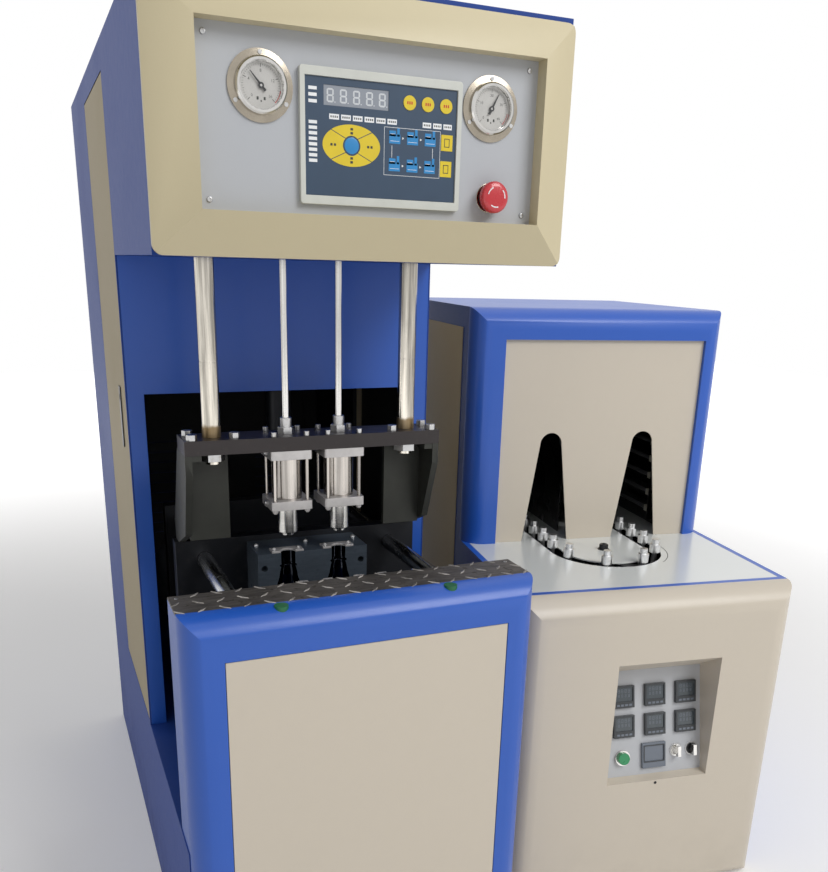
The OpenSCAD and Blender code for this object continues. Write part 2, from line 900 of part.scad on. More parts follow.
// Stretch beam: bushes on the pillars, a bar between them, an arm back to the cylinder
module stretch_beam() {
    color(dark)
        difference() {
            union() {
                translate([-pillar_x, axis_y - 22, stretch_z])
                    cube([2 * pillar_x, 44, stretch_t]);
                for (x = [-pillar_x, pillar_x])
                    translate([x, axis_y, stretch_z])
                        cylinder(r = bush_r, h = stretch_t, $fn = 64);
                translate([-25, axis_y, stretch_z])
                    cube([50, cyl_y - axis_y + 22, stretch_t]);
            }
            for (x = [-pillar_x, pillar_x])
                translate([x, axis_y, stretch_z - over])
                    cylinder(r = pillar_d / 2 + run, h = stretch_t + 2 * over, $fn = 64);
            for (x = [-axis_x, axis_x])
                translate([x, axis_y, stretch_z - over])
                    cylinder(r = rod_d / 2, h = stretch_t + 2 * over, $fn = 48);
        }
    color(steel)
        translate([0, cyl_y, cyl_bottom + 60 + stretch_stroke + 5])
            cylinder(r = piston_rod_r, h = stretch_z - cyl_bottom - 60 - stretch_stroke, $fn = 48);
    color(steel)
        translate([0, cyl_y, cyl_bottom + 60 + stretch_stroke])
            cylinder(r = 21 - run, h = 12, $fn = 64);
}

// Stretch rods, fixed in the stretch beam by a nut above and a collar below
module stretch_rods() {
    color("#dddee0")
        for (x = [-axis_x, axis_x])
            translate([x, axis_y, 0]) {
                translate([0, 0, rod_tip + rod_d / 2])
                    cylinder(r = rod_d / 2, h = stretch_z + stretch_t + 10 - rod_tip, $fn = 48);
                translate([0, 0, rod_tip + rod_d / 2])
                    sphere(r = rod_d / 2, $fn = 48);
                translate([0, 0, stretch_z + stretch_t])
                    hexagon(20, 10);
                translate([0, 0, stretch_z - 4])
                    cylinder(r = 9, h = 4, $fn = 48);
            }
}

// Stretch cylinder that hangs under the head's floor plate, inside the cabinet
module stretch_cylinder() {
    color(steel)
        translate([0, cyl_y, cyl_bottom])
            difference() {
                union() {
                    for (z = [0, head_low - cyl_bottom - 25])
                        translate([-cyl_cap / 2, -cyl_cap / 2 + 4, z])
                            cube([cyl_cap, cyl_cap - 8, 25]);
                    cylinder(r = 25, h = head_low - cyl_bottom - eps, $fn = 72);
                }
                translate([0, 0, 25])
                    cylinder(r = 21, h = head_low - cyl_bottom - 50, $fn = 72);
                translate([0, 0, head_low - cyl_bottom - 26])
                    cylinder(r = piston_rod_r + run, h = 40, $fn = 48);
            }
}

// Places its children at the four tie bars
module at_bars() {
    for (x = [-bar_x, bar_x], z = [bar_down, bar_up])
        translate([x, 0, z])
            children();
}

// Rear platen, standing on the base box
module rear_platen() {
    color(dark)
        difference() {
            translate([-platen_w / 2, rear_face, base_h])
                cube([platen_w, platen_t, platen_z]);
            at_bars()
                translate([0, rear_face - over, 0])
                    rod_y(bar_r + run, platen_t + 2 * over, 64);
        }
    color(dark)
        for (x = [-platen_w / 2, platen_w / 2 - 16])
            translate([x, rear_back, base_h])
                rotate([90, 0, 90])
                    linear_extrude(16)
                        polygon([[0, 0], [50, 0], [50, 30], [0, 260]]);
}

// Half of the bottle's form, with its axis at x = 0 in the parting face
module bottle() {
    body = bottle_d / 2;
    neck = neck_d / 2;
    translate([0, face_y, mould_top])
        rotate_extrude($fn = 96)
            polygon([
                [0, over], [neck, over], [neck, -22], [neck + 3, -24], [neck + 3, -26],
                [neck + 0.5, -28], [16, -36], [18, -48], [24, -66], [30, -90], [body, -108],
                [body, -bottle_h + 60], [body - 2.5, -bottle_h + 54], [body, -bottle_h + 48],
                [body, -bottle_h + 10], [body - 6, -bottle_h], [8, -bottle_h], [0, -bottle_h + 6]
            ]);
}

// Mould half: block with two half bottles, cooling holes and guide holes or pins
module mould_half(rear) {
    y0 = rear ? face_y : open_face - mould_t;
    difference() {
        translate([-mould_w / 2, y0, mould_bottom])
            cube([mould_w, mould_t, mould_h]);
        for (x = [-axis_x, axis_x])
            translate([x, rear ? 0 : open_face - face_y, 0])
                bottle();
        for (s = [-1, 1], z = [mould_bottom + 70, mould_bottom + 170])
            translate([s * (mould_w / 2 - 20) - 30, y0 + (rear ? mould_t - 30 : 30), z])
                rotate([0, 90, 0])
                    cylinder(r = 5, h = 60, $fn = 32);
        if (rear)
            for (x = [-mould_w / 2 + 12, mould_w / 2 - 12], z = [mould_top - 28, mould_bottom + 28])
                translate([x, y0 - over, z])
                    rod_y(6 + run, 26, 32);
    }
    if (!rear)
        for (x = [-mould_w / 2 + 12, mould_w / 2 - 12], z = [mould_top - 28, mould_bottom + 28])
            translate([x, open_face - eps, z])
                rod_y(6, 22, 32);
}

module rear_mould_half() {
    color("#59626b")
        mould_half(true);
}

module front_mould_half() {
    color("#59626b")
        mould_half(false);
}

// Moving platen that the tie bars pull
module front_platen() {
    color(dark)
        difference() {
            translate([-platen_w / 2, front_front, bar_down - 45])
                cube([platen_w, platen_t, mould_top - bar_down + 45]);
            at_bars()
                translate([0, front_front - over, 0])
                    rod_y(bar_r, platen_t + 2 * over, 64);
            translate([0, front_front - over, clamp_z])
                rod_y(70, platen_t - 10 + over, 64);
        }
}

// Four tie bars with their end nuts
module tie_bars() {
    color("#cfd0d3")
        at_bars() {
            translate([0, bar_front, 0])
                rod_y(bar_r, bar_back - bar_front, 64);
            for (y = [front_front - bar_nut_t, tail_back])
                translate([0, y + bar_nut_t, 0])
                    rotate([90, 0, 0])
                        hexagon(bar_nut_af, bar_nut_t);
        }
}

// Tail plate at the back ends of the tie bars
module tail_plate() {
    color(dark)
        difference() {
            translate([-bar_x - 30, tail_front, bar_down - 30])
                cube([bar_pitch_x + 60, platen_t, bar_up - bar_down + 60]);
            at_bars()
                translate([0, tail_front - over, 0])
                    rod_y(bar_r, platen_t + 2 * over, 64);
            for (s = [-1, 1])
                translate([s * 150 - 45, tail_front - over, clamp_z - 70])
                    cube([90, platen_t + 2 * over, 140]);
            translate([0, tail_front - over, clamp_z])
                rod_y(14, platen_t + 2 * over, 48);
        }
}

// Clamp cylinder, bolted to the back of the rear platen
module clamp_cylinder() {
    color(steel)
        translate([0, rear_back, clamp_z])
            difference() {
                union() {
                    translate([-clamp_d / 2 - 12, 0, -clamp_d / 2 - 12])
                        standing(26)
                            round_rect(clamp_d + 24, clamp_d + 24, 16);
                    rod_y(clamp_d / 2, clamp_len, 96);
                    translate([-clamp_d / 2 - 12, clamp_len - 26, -clamp_d / 2 - 12])
                        standing(26)
                            round_rect(clamp_d + 24, clamp_d + 24, 16);
                    for (x = [-1, 1], z = [-1, 1])
                        translate([x * (clamp_d / 2 - 1), 0, z * (clamp_d / 2 - 1)])
                            rod_y(7, clamp_len + 10, 24);
                }
                translate([0, 26, 0])
                    rod_y(clamp_d / 2 - 8, clamp_len - 52, 96);
                translate([0, clamp_len - 27, 0])
                    rod_y(clamp_rod_r + run, 60, 64);
            }
}

// Rod of the clamp cylinder with its piston, screwed to the tail plate
module clamp_rod() {
    color("#d8d9dc")
        translate([0, rear_back + 30, clamp_z]) {
            rod_y(clamp_d / 2 - 8 - run, 22, 96);
            translate([0, 22 - eps, 0])
                rod_y(clamp_rod_r, tail_front - rear_back - 52 + eps, 64);
            translate([0, tail_front - rear_back - 31, 0])
                rod_y(14, platen_t + 14, 48);
            translate([0, tail_back - rear_back - 30 + 13, 0])
                rotate([90, 0, 0])
                    hexagon(40, 13);
        }
}

// Front box: sheet sides and top behind the moulded frame, open at the back
module front_box() {
    color(blue)
        difference() {
            translate([-front_w / 2, frame_y, base_h])
                cube([front_w, box_d, box_z - plate_t]);
            translate([-front_w / 2 + sheet, frame_y - over, base_h - over])
                cube([front_w - 2 * sheet, box_d + 2 * over, box_z - plate_t - sheet + over]);
        }
}

// Checker plate on the front box
module checker_plate() {
    color("#8f949a")
        translate([-front_w / 2, frame_y, box_top - plate_t])
            difference() {
                cube([front_w, box_d, plate_t]);
                for (x = [12, front_w - 12])
                    translate([x, box_d - 12, -over])
                        cylinder(r = 3.2, h = plate_t + 2 * over, $fn = 32);
            }
}

// Moulded frame of the front box, with round edges and mitred corners
module front_frame() {
    color(blue)
        difference() {
            union() {
                translate([-front_w / 2, frame_y, 0])
                    difference() {
                        bull_slab(front_w, box_top, frame_out, frame_r);
                        translate([4, 4, 4])
                            bull_slab(front_w - 8, box_top - 8, frame_out, frame_r - 4, 10);
                    }
                translate([-window_x - 3, panel_out_y + 2, window_z - 3])
                    cube([2 * window_x + 6, 21.5, window_h + 6]);
            }
            translate([-window_x, panel_out_y - over, window_z])
                cube([2 * window_x, 20.5 + over, window_h]);
            translate([-window_x + 14, panel_out_y - over, window_z + 14])
                cube([2 * window_x - 28, 40, window_h - 28]);
            for (x = [-start_x, start_x])
                translate([x, start_y, box_top - 30])
                    cylinder(r = 11 + run, h = 40, $fn = 48);
        }
}

// Cream panel in the moulded frame, folded at its edges
module front_panel() {
    color(cream)
        difference() {
            translate([-window_x + 1, panel_out_y + 0.5, window_z + 1])
                cube([2 * window_x - 2, 20, window_h - 2]);
            translate([-window_x + 4, panel_out_y + 3.5, window_z + 4])
                cube([2 * window_x - 8, 20, window_h - 8]);
        }
}

// Flush start button on top of the moulded frame
module start_button(x) {
    color(green)
        translate([x, start_y, box_top - 23])
            union() {
                translate([0, 0, 12])
                    cylinder(r = 11, h = 11.5, $fn = 48);
                cylinder(r = 8, h = 13, $fn = 48);
            }
}

module start_button_left() {
    start_button(-start_x);
}

module start_button_right() {
    start_button(start_x);
}

// Compressed-air tank on saddles, behind the clamp
module air_tank() {
    color("#7d858c")
        translate([-210, cab_d - 2 * tank_r, base_h + tank_r + 10]) {
            rotate([0, 90, 0])
                rotate_extrude($fn = 72)
                    polygon([
                        [0, 0], [40, 3], [75, 14], [tank_r, 34], [tank_r, 386], [75, 406], [40, 417], [0, 420]
                    ]);
            for (x = [90, 310])
                difference() {
                    translate([x, -70, -tank_r - 10])
                        cube([20, 140, 60]);
                    translate([x - over, 0, 0])
                        rotate([0, 90, 0])
                            cylinder(r = tank_r - 1, h = 20 + 2 * over, $fn = 72);
                }
        }
}

// Places the heater's pieces, which are drawn in the heater's own frame
module at_heater() {
    translate([heat_x, heater_y, 0])
        rotate([0, 0, heater_turn])
            children();
}

// Places its children on the inclined board, s up along it
module at_board(u, s) {
    at_heater()
        translate([u, board_v0, board_z0])
            rotate([-board_tilt, 0, 0])
                translate([0, 0, s])
                    children();
}

// Racetrack round both wheel centres, with end radius r
module racetrack(r) {
    for (v = [loop_v, rear_v])
        translate([loop_u, v])
            circle(r = r, $fn = 96);
    translate([loop_u - r, loop_v])
        square([2 * r, run_len]);
}

// Lower cabinet of the heater: sheet walls with a rim round the table
module heater_cabinet() {
    color(blue)
        at_heater()
            difference() {
                cube([heat_w, heat_d, table_z]);
                translate([sheet, sheet, 5])
                    cube([heat_w - 2 * sheet, heat_d - 2 * sheet, table_z - 6 - 5]);
                translate([rim, rim, table_z - table_t])
                    cube([heat_w - 2 * rim, heat_d - 2 * rim, table_t + over]);
                translate([rim + 10, rim + 10, table_z - 10])
                    cube([heat_w - 2 * rim - 20, heat_d - 2 * rim - 20, 10 + over]);
                translate([recess_u - recess_gap, -over, recess_z0 - 20])
                    cube([recess_w + 2 * recess_gap, sheet + 2 * over, recess_z1 - recess_z0 + 17]);
                for (u = [90, heat_w - 200], i = [0:9])
                    translate([u, heat_d - sheet - over, 160 + 26 * i])
                        cube([110, sheet + 2 * over, 6]);
            }
}

// Moulded lower cover with the pocket of the recessed panel
module heater_cover() {
    color(cream)
        at_heater()
            difference() {
                union() {
                    difference() {
                        bull_slab(heat_w, table_z, cover_out, cover_r);
                        translate([sheet, sheet, sheet])
                            bull_slab(heat_w - 2 * sheet, table_z - 2 * sheet, cover_out, cover_r - sheet, 10);
                    }
                    translate([recess_u - sheet, 0, 0])
                        rotate([90, 0, 90])
                            linear_extrude(recess_w + 2 * sheet)
                                polygon([
                                    [-cover_out + 1, recess_z0 - sheet], [-cover_out + 1, recess_z1 + sheet],
                                    [board_v1 + 0.7, board_z1 + 3], [board_v0 - 0.7, board_z0 - 3]
                                ]);
                }
                translate([recess_u, 0, 0])
                    rotate([90, 0, 90])
                        linear_extrude(recess_w)
                            polygon([
                                [-cover_out - over, recess_z0], [-cover_out - over, recess_z1],
                                [board_v1 + 1, board_z1], [board_v0 + 1, board_z0]
                            ]);
            }
}

// Inclined board at the back of the recess, with the collars of its controls
module heater_panel() {
    color(cream)
        difference() {
            at_board(recess_u - 8, -8)
                cube([recess_w + 16, board_t, board_len + 16]);
            for (i = [0:2], s = [module_s1, module_s2])
                at_board(module_u + module_pitch * i - 21, s - 21)
                    translate([0, -over, 0])
                        cube([42, board_t + 2 * over, 42]);
            at_board(meter_u - 24, switch_s - 24)
                translate([0, -over, 0])
                    cube([48, board_t + 2 * over, 48]);
            at_board(run_u, switch_s)
                translate([0, -over, 0])
                    rod_y(13, board_t + 2 * over);
            for (u = [selector_u1, selector_u2])
                at_board(u, switch_s + 4)
                    translate([0, -over, 0])
                        rod_y(7 + run, board_t + 2 * over);
        }
    color(steel) {
        at_board(run_u, switch_s)
            difference() {
                translate([0, -6, 0])
                    rod_y(16, 6 + eps);
                translate([0, -6 - over, 0])
                    rod_y(12.5 + run, 12);
            }
        for (u = [selector_u1, selector_u2])
            at_board(u, switch_s + 4)
                difference() {
                    translate([0, -3, 0])
                        rod_y(12, 3 + eps);
                    translate([0, -3 - over, 0])
                        rod_y(7 + run, 12);
                }
    }
}

// Six temperature controllers and a meter, each with a front and a body
module panel_meters() {
    color("#1d4a34")
        for (i = [0:2], s = [module_s1, module_s2])
            at_board(module_u + module_pitch * i, s) {
                difference() {
                    translate([-module_size / 2, -8, -module_size / 2])
                        cube([module_size, 8, module_size]);
                    translate([-module_size / 2 + 4, -8 - over, -module_size / 2 + 14])
                        cube([module_size - 8, 2 + over, module_size - 18]);
                }
                translate([-21, -eps, -21])
                    cube([42, 55, 42]);
            }
    color("#8d9196")
        at_board(meter_u, switch_s) {
            difference() {
                translate([-26.5, -7, -26.5])
                    cube([53, 7, 53]);
                translate([-22, -8, -12])
                    cube([44, 2.5, 32]);
            }
            translate([-24, -eps, -24])
                cube([48, 40, 48]);
        }
}

// Green push button of the heater
module run_button() {
    color(green)
        at_board(run_u, switch_s)
            translate([0, -13, 0])
                rod_y(12.5, 22);
}

// Small lever switch: spindle and handle
module selector(u) {
    color("#d8d9dc")
        at_board(u, switch_s + 4) {
            translate([0, -9, 0])
                rod_y(7, 20);
            translate([-3.5, -17, -11])
                cube([7, 9, 22]);
        }
}

module selector_left() {
    selector(selector_u1);
}

module selector_right() {
    selector(selector_u2);
}

// White table round the conveyor's slot
module table_top() {
    color(white)
        at_heater()
            difference() {
                translate([rim, rim, table_z - table_t])
                    cube([heat_w - 2 * rim, heat_d - 2 * rim, table_t]);
                translate([0, 0, table_z - table_t - over])
                    linear_extrude(table_t + 2 * over)
                        racetrack(path_r + slot_w / 2);
            }
}

// Island inside the slot, with its knob
module table_centre() {
    color(white)
        at_heater() {
            translate([0, 0, table_z - table_t])
                linear_extrude(table_t)
                    racetrack(path_r - slot_w / 2);
            translate([loop_u, loop_v, table_z - eps])
                cylinder(r = 9, h = 12, $fn = 32);
        }
}

// Moulded frame of the hood's front, open down to the table
module hood_frame() {
    h = hood_h + 60;
    color(blue)
        at_heater()
            difference() {
                union() {
                    translate([0, hood_v + hood_r, table_z - 60])
                        difference() {
                            bull_slab(heat_w, h, hood_r, hood_r);
                            translate([4, 4, 4])
                                bull_slab(heat_w - 8, h - 8, hood_r, hood_r - 4, 10);
                        }
                    translate([hood_left - 3, hood_v + 2, table_z])
                        cube([hood_inner_w + 6, 14, hood_h - hood_top + 3]);
                }
                translate([-over, hood_v - over, table_z - 61])
                    cube([heat_w + 2 * over, hood_r + 20, 61]);
                translate([hood_left, hood_v - over, table_z - over])
                    cube([hood_inner_w, 12 + over, hood_h - hood_top + over]);
                translate([hood_left + 12, hood_v - over, table_z - over])
                    cube([hood_inner_w - 24, 40, hood_h - hood_top - 12 + over]);
            }
}

// Opening over one run of the conveyor, tapering to a round top
module hood_slot(u) {
    translate([u, -over, 0])
        standing(10) {
            polygon([
                [-slot_half_bottom, -over], [slot_half_bottom, -over],
                [slot_r_top, slot_apex - slot_r_top], [-slot_r_top, slot_apex - slot_r_top]
            ]);
            translate([0, slot_apex - slot_r_top])
                circle(r = slot_r_top, $fn = 48);
        }
}

// Cream panels of the hood: the front one with its two slots, and one on each side
module hood_panels() {
    color(cream)
        at_heater() {
            translate([0, hood_v + 8, table_z])
                difference() {
                    translate([hood_left, 0, 0])
                        cube([hood_inner_w, 3, hood_h - hood_top]);
                    hood_slot(loop_u - path_r + slot_shift);
                    hood_slot(loop_u + path_r + slot_shift);
                }
            for (u = [-1.5, heat_w])
                translate([u, hood_v + 84, table_z + 36])
                    cube([1.5, heat_d - hood_v - 124, hood_h - 80]);
        }
}

// Sheet walls and top of the hood, with vents at the back
module hood_shell() {
    color(blue)
        at_heater()
            difference() {
                translate([0, hood_v + hood_r, table_z])
                    cube([heat_w, heat_d - hood_v - hood_r, hood_h]);
                translate([sheet, hood_v + hood_r - over, table_z - over])
                    cube([heat_w - 2 * sheet, heat_d - hood_v - hood_r + over - sheet, hood_h + over - sheet]);
                for (u = [70, heat_w - 200], i = [0:7])
                    translate([u, heat_d - sheet - over, table_z + 260 + 26 * i])
                        cube([130, sheet + 2 * over, 6]);
            }
}

// Quartz lamps along both runs, each with its two ceramic ends
module quartz_lamps() {
    color("#f0ede4")
        at_heater()
            for (u = [lamp_u, heat_w - lamp_u], i = [0:5])
                translate([u, lamp_v, lamp_z + lamp_pitch * i]) {
                    rod_y(5.5, lamp_len, 16);
                    for (v = [0, lamp_len - 18])
                        translate([-7, v, -7])
                            cube([14, 18, 14]);
                }
}

// Reflectors behind the lamps and on the island, and the plates that hold the lamps
module lamp_reflectors() {
    color("#b9bcc0")
        at_heater() {
            for (u = [lamp_u - 27, heat_w - lamp_u + 24])
                translate([u, lamp_v - 3, table_z])
                    cube([3, lamp_len + 6, 290]);
            for (u = [lamp_u - 25, heat_w - lamp_u - 9], v = [lamp_v - 3, lamp_v + lamp_len])
                translate([u, v, table_z + 20])
                    cube([34, 3, 270]);
            for (u = [loop_u - 48, loop_u + 45])
                translate([u, lamp_v, table_z])
                    cube([3, 300, 270]);
        }
}

// Angle of roller i on a chain wheel, from straight across
function seat(i) = (i + 0.5) * 360 / wheel_teeth;

// Preform carrier: an arm on the chain, a post and the mandrel that holds the neck.
// The chain's pin is at the origin and +x points outwards
module carrier() {
    color(pale) {
        translate([-7, -8, 6.5])
            cube([path_r - wheel_r + 13, 16, 3]);
        translate([path_r - wheel_r, 0, 6.5])
            cylinder(r = 6, h = table_z - chain_z + 2, $fn = 24);
        translate([path_r - wheel_r, 0, table_z - chain_z + 2])
            cylinder(r = holder_d / 2, h = 18, $fn = 32);
        translate([path_r - wheel_r, 0, table_z - chain_z + 19])
            cylinder(r = 8, h = 12, $fn = 24);
    }
}

// Roller between two link plates, with the chain's pin at the origin
module roller() {
    translate([0, 0, -4.5 - eps])
        cylinder(r = roller_r, h = 9 + 2 * eps, $fn = 16);
    for (z = [-6.5, 4.5])
        translate([0, 0, z])
            cylinder(r = 7.6, h = link_t, $fn = 16);
}

// Chain wheel with its hub; the half that the chain wraps points to turn = 0
module chain_wheel(v, turn) {
    color("#77797d")
        difference() {
            at_heater()
                translate([loop_u, v, chain_z]) {
                    translate([0, 0, -4])
                        cylinder(r = wheel_r + 4, h = 8, $fn = 72);
                    translate([0, 0, -16])
                        cylinder(r = 24, h = 34, $fn = 48);
                }
            at_heater()
                translate([loop_u, v, chain_z - 30])
                    cylinder(r = shaft_r + run, h = 60, $fn = 48);
            at_heater()
                for (i = [0:wheel_teeth - 1])
                    translate([loop_u, v, chain_z - 5])
                        rotate([0, 0, seat(i)])
                            translate([wheel_r, 0, 0]) {
                                cylinder(r = notch_r, h = 10, $fn = 16);
                                linear_extrude(10)
                                    polygon([[0, -notch_r], [8, -notch_half], [8, notch_half], [0, notch_r]]);
                            }
        }
    color("#5b5d61")
        at_heater()
            translate([loop_u, v, chain_z])
                rotate([0, 0, turn])
                    for (i = [0:wheel_teeth / 2 - 1])
                        rotate([0, 0, seat(i)])
                            translate([wheel_r, 0, 0]) {
                                roller();
                                if (i < wheel_teeth / 2 - 1)
                                    rotate([0, 0, 180 / wheel_teeth])
                                        for (z = [-6.5, 4.5])
                                            translate([-5, 0, z])
                                                cube([10, chain_pitch, link_t]);
                                if (i % carrier_links == 1)
                                    carrier();
                            }
}

module front_chain_wheel() {
    chain_wheel(loop_v, 180);
}

module rear_chain_wheel() {
    chain_wheel(rear_v, 0);
}

// Straight run of the chain with its carriers, on the side given by s
module chain_run(s) {
    color("#5b5d61")
        at_heater()
            translate([loop_u + s * wheel_r, loop_v, chain_z]) {
                for (j = [0:straight_carriers * carrier_links - 1])
                    translate([0, (j + 0.5) * chain_pitch, 0])
                        roller();
                for (z = [-6.5, 4.5])
                    translate([-5, chain_pitch / 2, z])
                        cube([10, run_len - chain_pitch, link_t]);
                for (k = [0:straight_carriers - 1])
                    translate([0, (k + 0.5) * carrier_pitch, 0])
                        rotate([0, 0, s < 0 ? 180 : 0])
                            carrier();
            }
}

module chain_runs_left() {
    chain_run(-1);
}

module chain_runs_right() {
    chain_run(1);
}

// Frame of the conveyor: a plate on two crossbars, the wheels' shafts, guide rails
// beside the runs and the posts under the island
module conveyor_frame() {
    color("#6a6f75")
        at_heater()
            difference() {
                union() {
                    translate([loop_u - 50, loop_v - 60, frame_plate_z])
                        cube([100, run_len + 120, frame_plate_t]);
                    for (v = [loop_v + 70, rear_v - 110])
                        translate([sheet, v, frame_plate_z - 40])
                            cube([heat_w - 2 * sheet, 40, 40]);
                    for (v = [loop_v, rear_v])
                        translate([loop_u, v, frame_plate_z])
                            cylinder(r = shaft_r, h = chain_z - frame_plate_z + 24, $fn = 48);
                    for (v = [loop_v + 130, rear_v - 130])
                        translate([loop_u - 12, v - 12, frame_plate_z])
                            cube([24, 24, table_z - table_t - frame_plate_z]);
                }
                translate([loop_u, rear_v, frame_plate_z - over])
                    cylinder(r = 7 + free, h = chain_z - frame_plate_z + 40, $fn = 32);
            }
}

// Gear motor under the rear wheel, its shaft up through the hollow bearing post
module drive_motor() {
    color("#3f6f8f")
        at_heater()
            translate([loop_u, rear_v, frame_plate_z]) {
                translate([-45, -45, -70])
                    cube([90, 90, 70]);
                translate([0, 0, -190])
                    cylinder(r = 45, h = 120 + eps, $fn = 64);
                translate([0, 0, -210])
                    cylinder(r = 41, h = 20 + eps, $fn = 64);
                translate([0, 0, -eps])
                    cylinder(r = 7, h = chain_z - frame_plate_z + 24, $fn = 32);
            }
}

blower_base();
cabinet_shell();
side_door();
fixed_panels();
front_sheet();
head_shell();
head_bezel();
control_panel();
controller_frame();
controller_face();
gauges();
gauge_glasses();
needle_left();
needle_right();
stop_button();
guide_pillars();
beam_fasteners();
crossbeam();
beam_brackets();
seal_cylinders();
nozzle_left();
nozzle_right();
stretch_beam();
stretch_rods();
stretch_cylinder();
rear_platen();
rear_mould_half();
front_platen();
front_mould_half();
tie_bars();
tail_plate();
clamp_cylinder();
clamp_rod();
front_box();
front_frame();
front_panel();
checker_plate();
start_button_left();
start_button_right();
air_tank();
heater_cabinet();
heater_cover();
heater_panel();
panel_meters();
conveyor_frame();
drive_motor();
run_button();
selector_left();
selector_right();
table_top();
table_centre();
hood_frame();
hood_panels();
hood_shell();
quartz_lamps();
lamp_reflectors();
front_chain_wheel();
rear_chain_wheel();
chain_runs_left();
chain_runs_right();
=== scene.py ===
"""Looks of a two-cavity stretch blow moulding machine and its infrared preform heater.

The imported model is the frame: each visible sheet, casting and rod of it is copied, its edges are
eased, and it gets a finish of shader nodes. Dials, keys, louvres, the checker plate's lozenges and
small fasteners are modelled here on top. Drawings are in millimetres and pieces in metres, with X
right across the machine's front, +Y to the back and Z up.
"""

import json
import logging
import math
from dataclasses import dataclass
from enum import Enum
from functools import cached_property
from typing import Any, Callable, Iterable, Sequence

import bmesh
import bpy
from mathutils import Matrix, Vector

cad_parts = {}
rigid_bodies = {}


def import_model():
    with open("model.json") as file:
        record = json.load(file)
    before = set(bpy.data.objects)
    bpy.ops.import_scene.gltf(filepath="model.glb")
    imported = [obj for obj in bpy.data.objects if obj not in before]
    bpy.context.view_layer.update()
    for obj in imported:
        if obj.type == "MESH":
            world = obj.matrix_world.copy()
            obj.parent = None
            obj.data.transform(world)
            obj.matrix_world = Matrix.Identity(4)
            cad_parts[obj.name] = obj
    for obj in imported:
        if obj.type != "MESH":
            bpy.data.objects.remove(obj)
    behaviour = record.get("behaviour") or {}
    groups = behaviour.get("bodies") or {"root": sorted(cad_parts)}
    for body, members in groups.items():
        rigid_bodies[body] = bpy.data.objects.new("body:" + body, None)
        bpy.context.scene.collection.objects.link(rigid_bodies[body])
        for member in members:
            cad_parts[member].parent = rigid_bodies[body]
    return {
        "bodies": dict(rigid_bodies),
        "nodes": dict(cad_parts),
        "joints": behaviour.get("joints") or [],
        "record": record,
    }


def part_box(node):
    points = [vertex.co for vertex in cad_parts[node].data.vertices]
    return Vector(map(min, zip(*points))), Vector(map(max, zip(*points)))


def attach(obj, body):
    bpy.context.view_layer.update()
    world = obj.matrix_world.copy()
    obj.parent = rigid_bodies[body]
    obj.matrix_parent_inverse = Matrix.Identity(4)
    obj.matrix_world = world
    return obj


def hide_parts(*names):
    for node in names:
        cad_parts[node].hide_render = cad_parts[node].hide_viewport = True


log = logging.getLogger("blow_moulding_machine")

Pair = tuple[float, float]
Triple = tuple[float, float, float]
Colour = tuple[float, float, float]
MM = 0.001


# Shader tools


def operator(operation: str, reflected: bool = False) -> Callable[["Val", Any], "Val"]:
    """Makes the method of Val that does one operation of the Math node.

    Args:
        operation: the Math node's operation.
        reflected: whether the other value comes first.

    Returns:
        The method.
    """

    def apply(self: "Val", other: Any) -> "Val":
        """Returns the result as a new value."""
        pair = (other, self) if reflected else (self, other)
        return self.graph.value("ShaderNodeMath", {"operation": operation}, dict(enumerate(pair)))

    return apply


@dataclass(frozen=True)
class Val:
    """An output socket that takes part in Python arithmetic by adding Math nodes."""

    graph: "Graph"
    socket: bpy.types.NodeSocket

    __add__ = operator("ADD")
    __radd__ = operator("ADD", reflected=True)
    __sub__ = operator("SUBTRACT")
    __rsub__ = operator("SUBTRACT", reflected=True)
    __mul__ = operator("MULTIPLY")
    __rmul__ = operator("MULTIPLY", reflected=True)
    __pow__ = operator("POWER")

    def above(self, low: float, high: float) -> "Val":
        """Returns a smooth step that is 0 below low and 1 above high."""
        edges = {"Value": self, "From Min": low, "From Max": high, "To Min": 0.0, "To Max": 1.0}
        return self.graph.value("ShaderNodeMapRange", {"interpolation_type": "SMOOTHSTEP"}, edges)


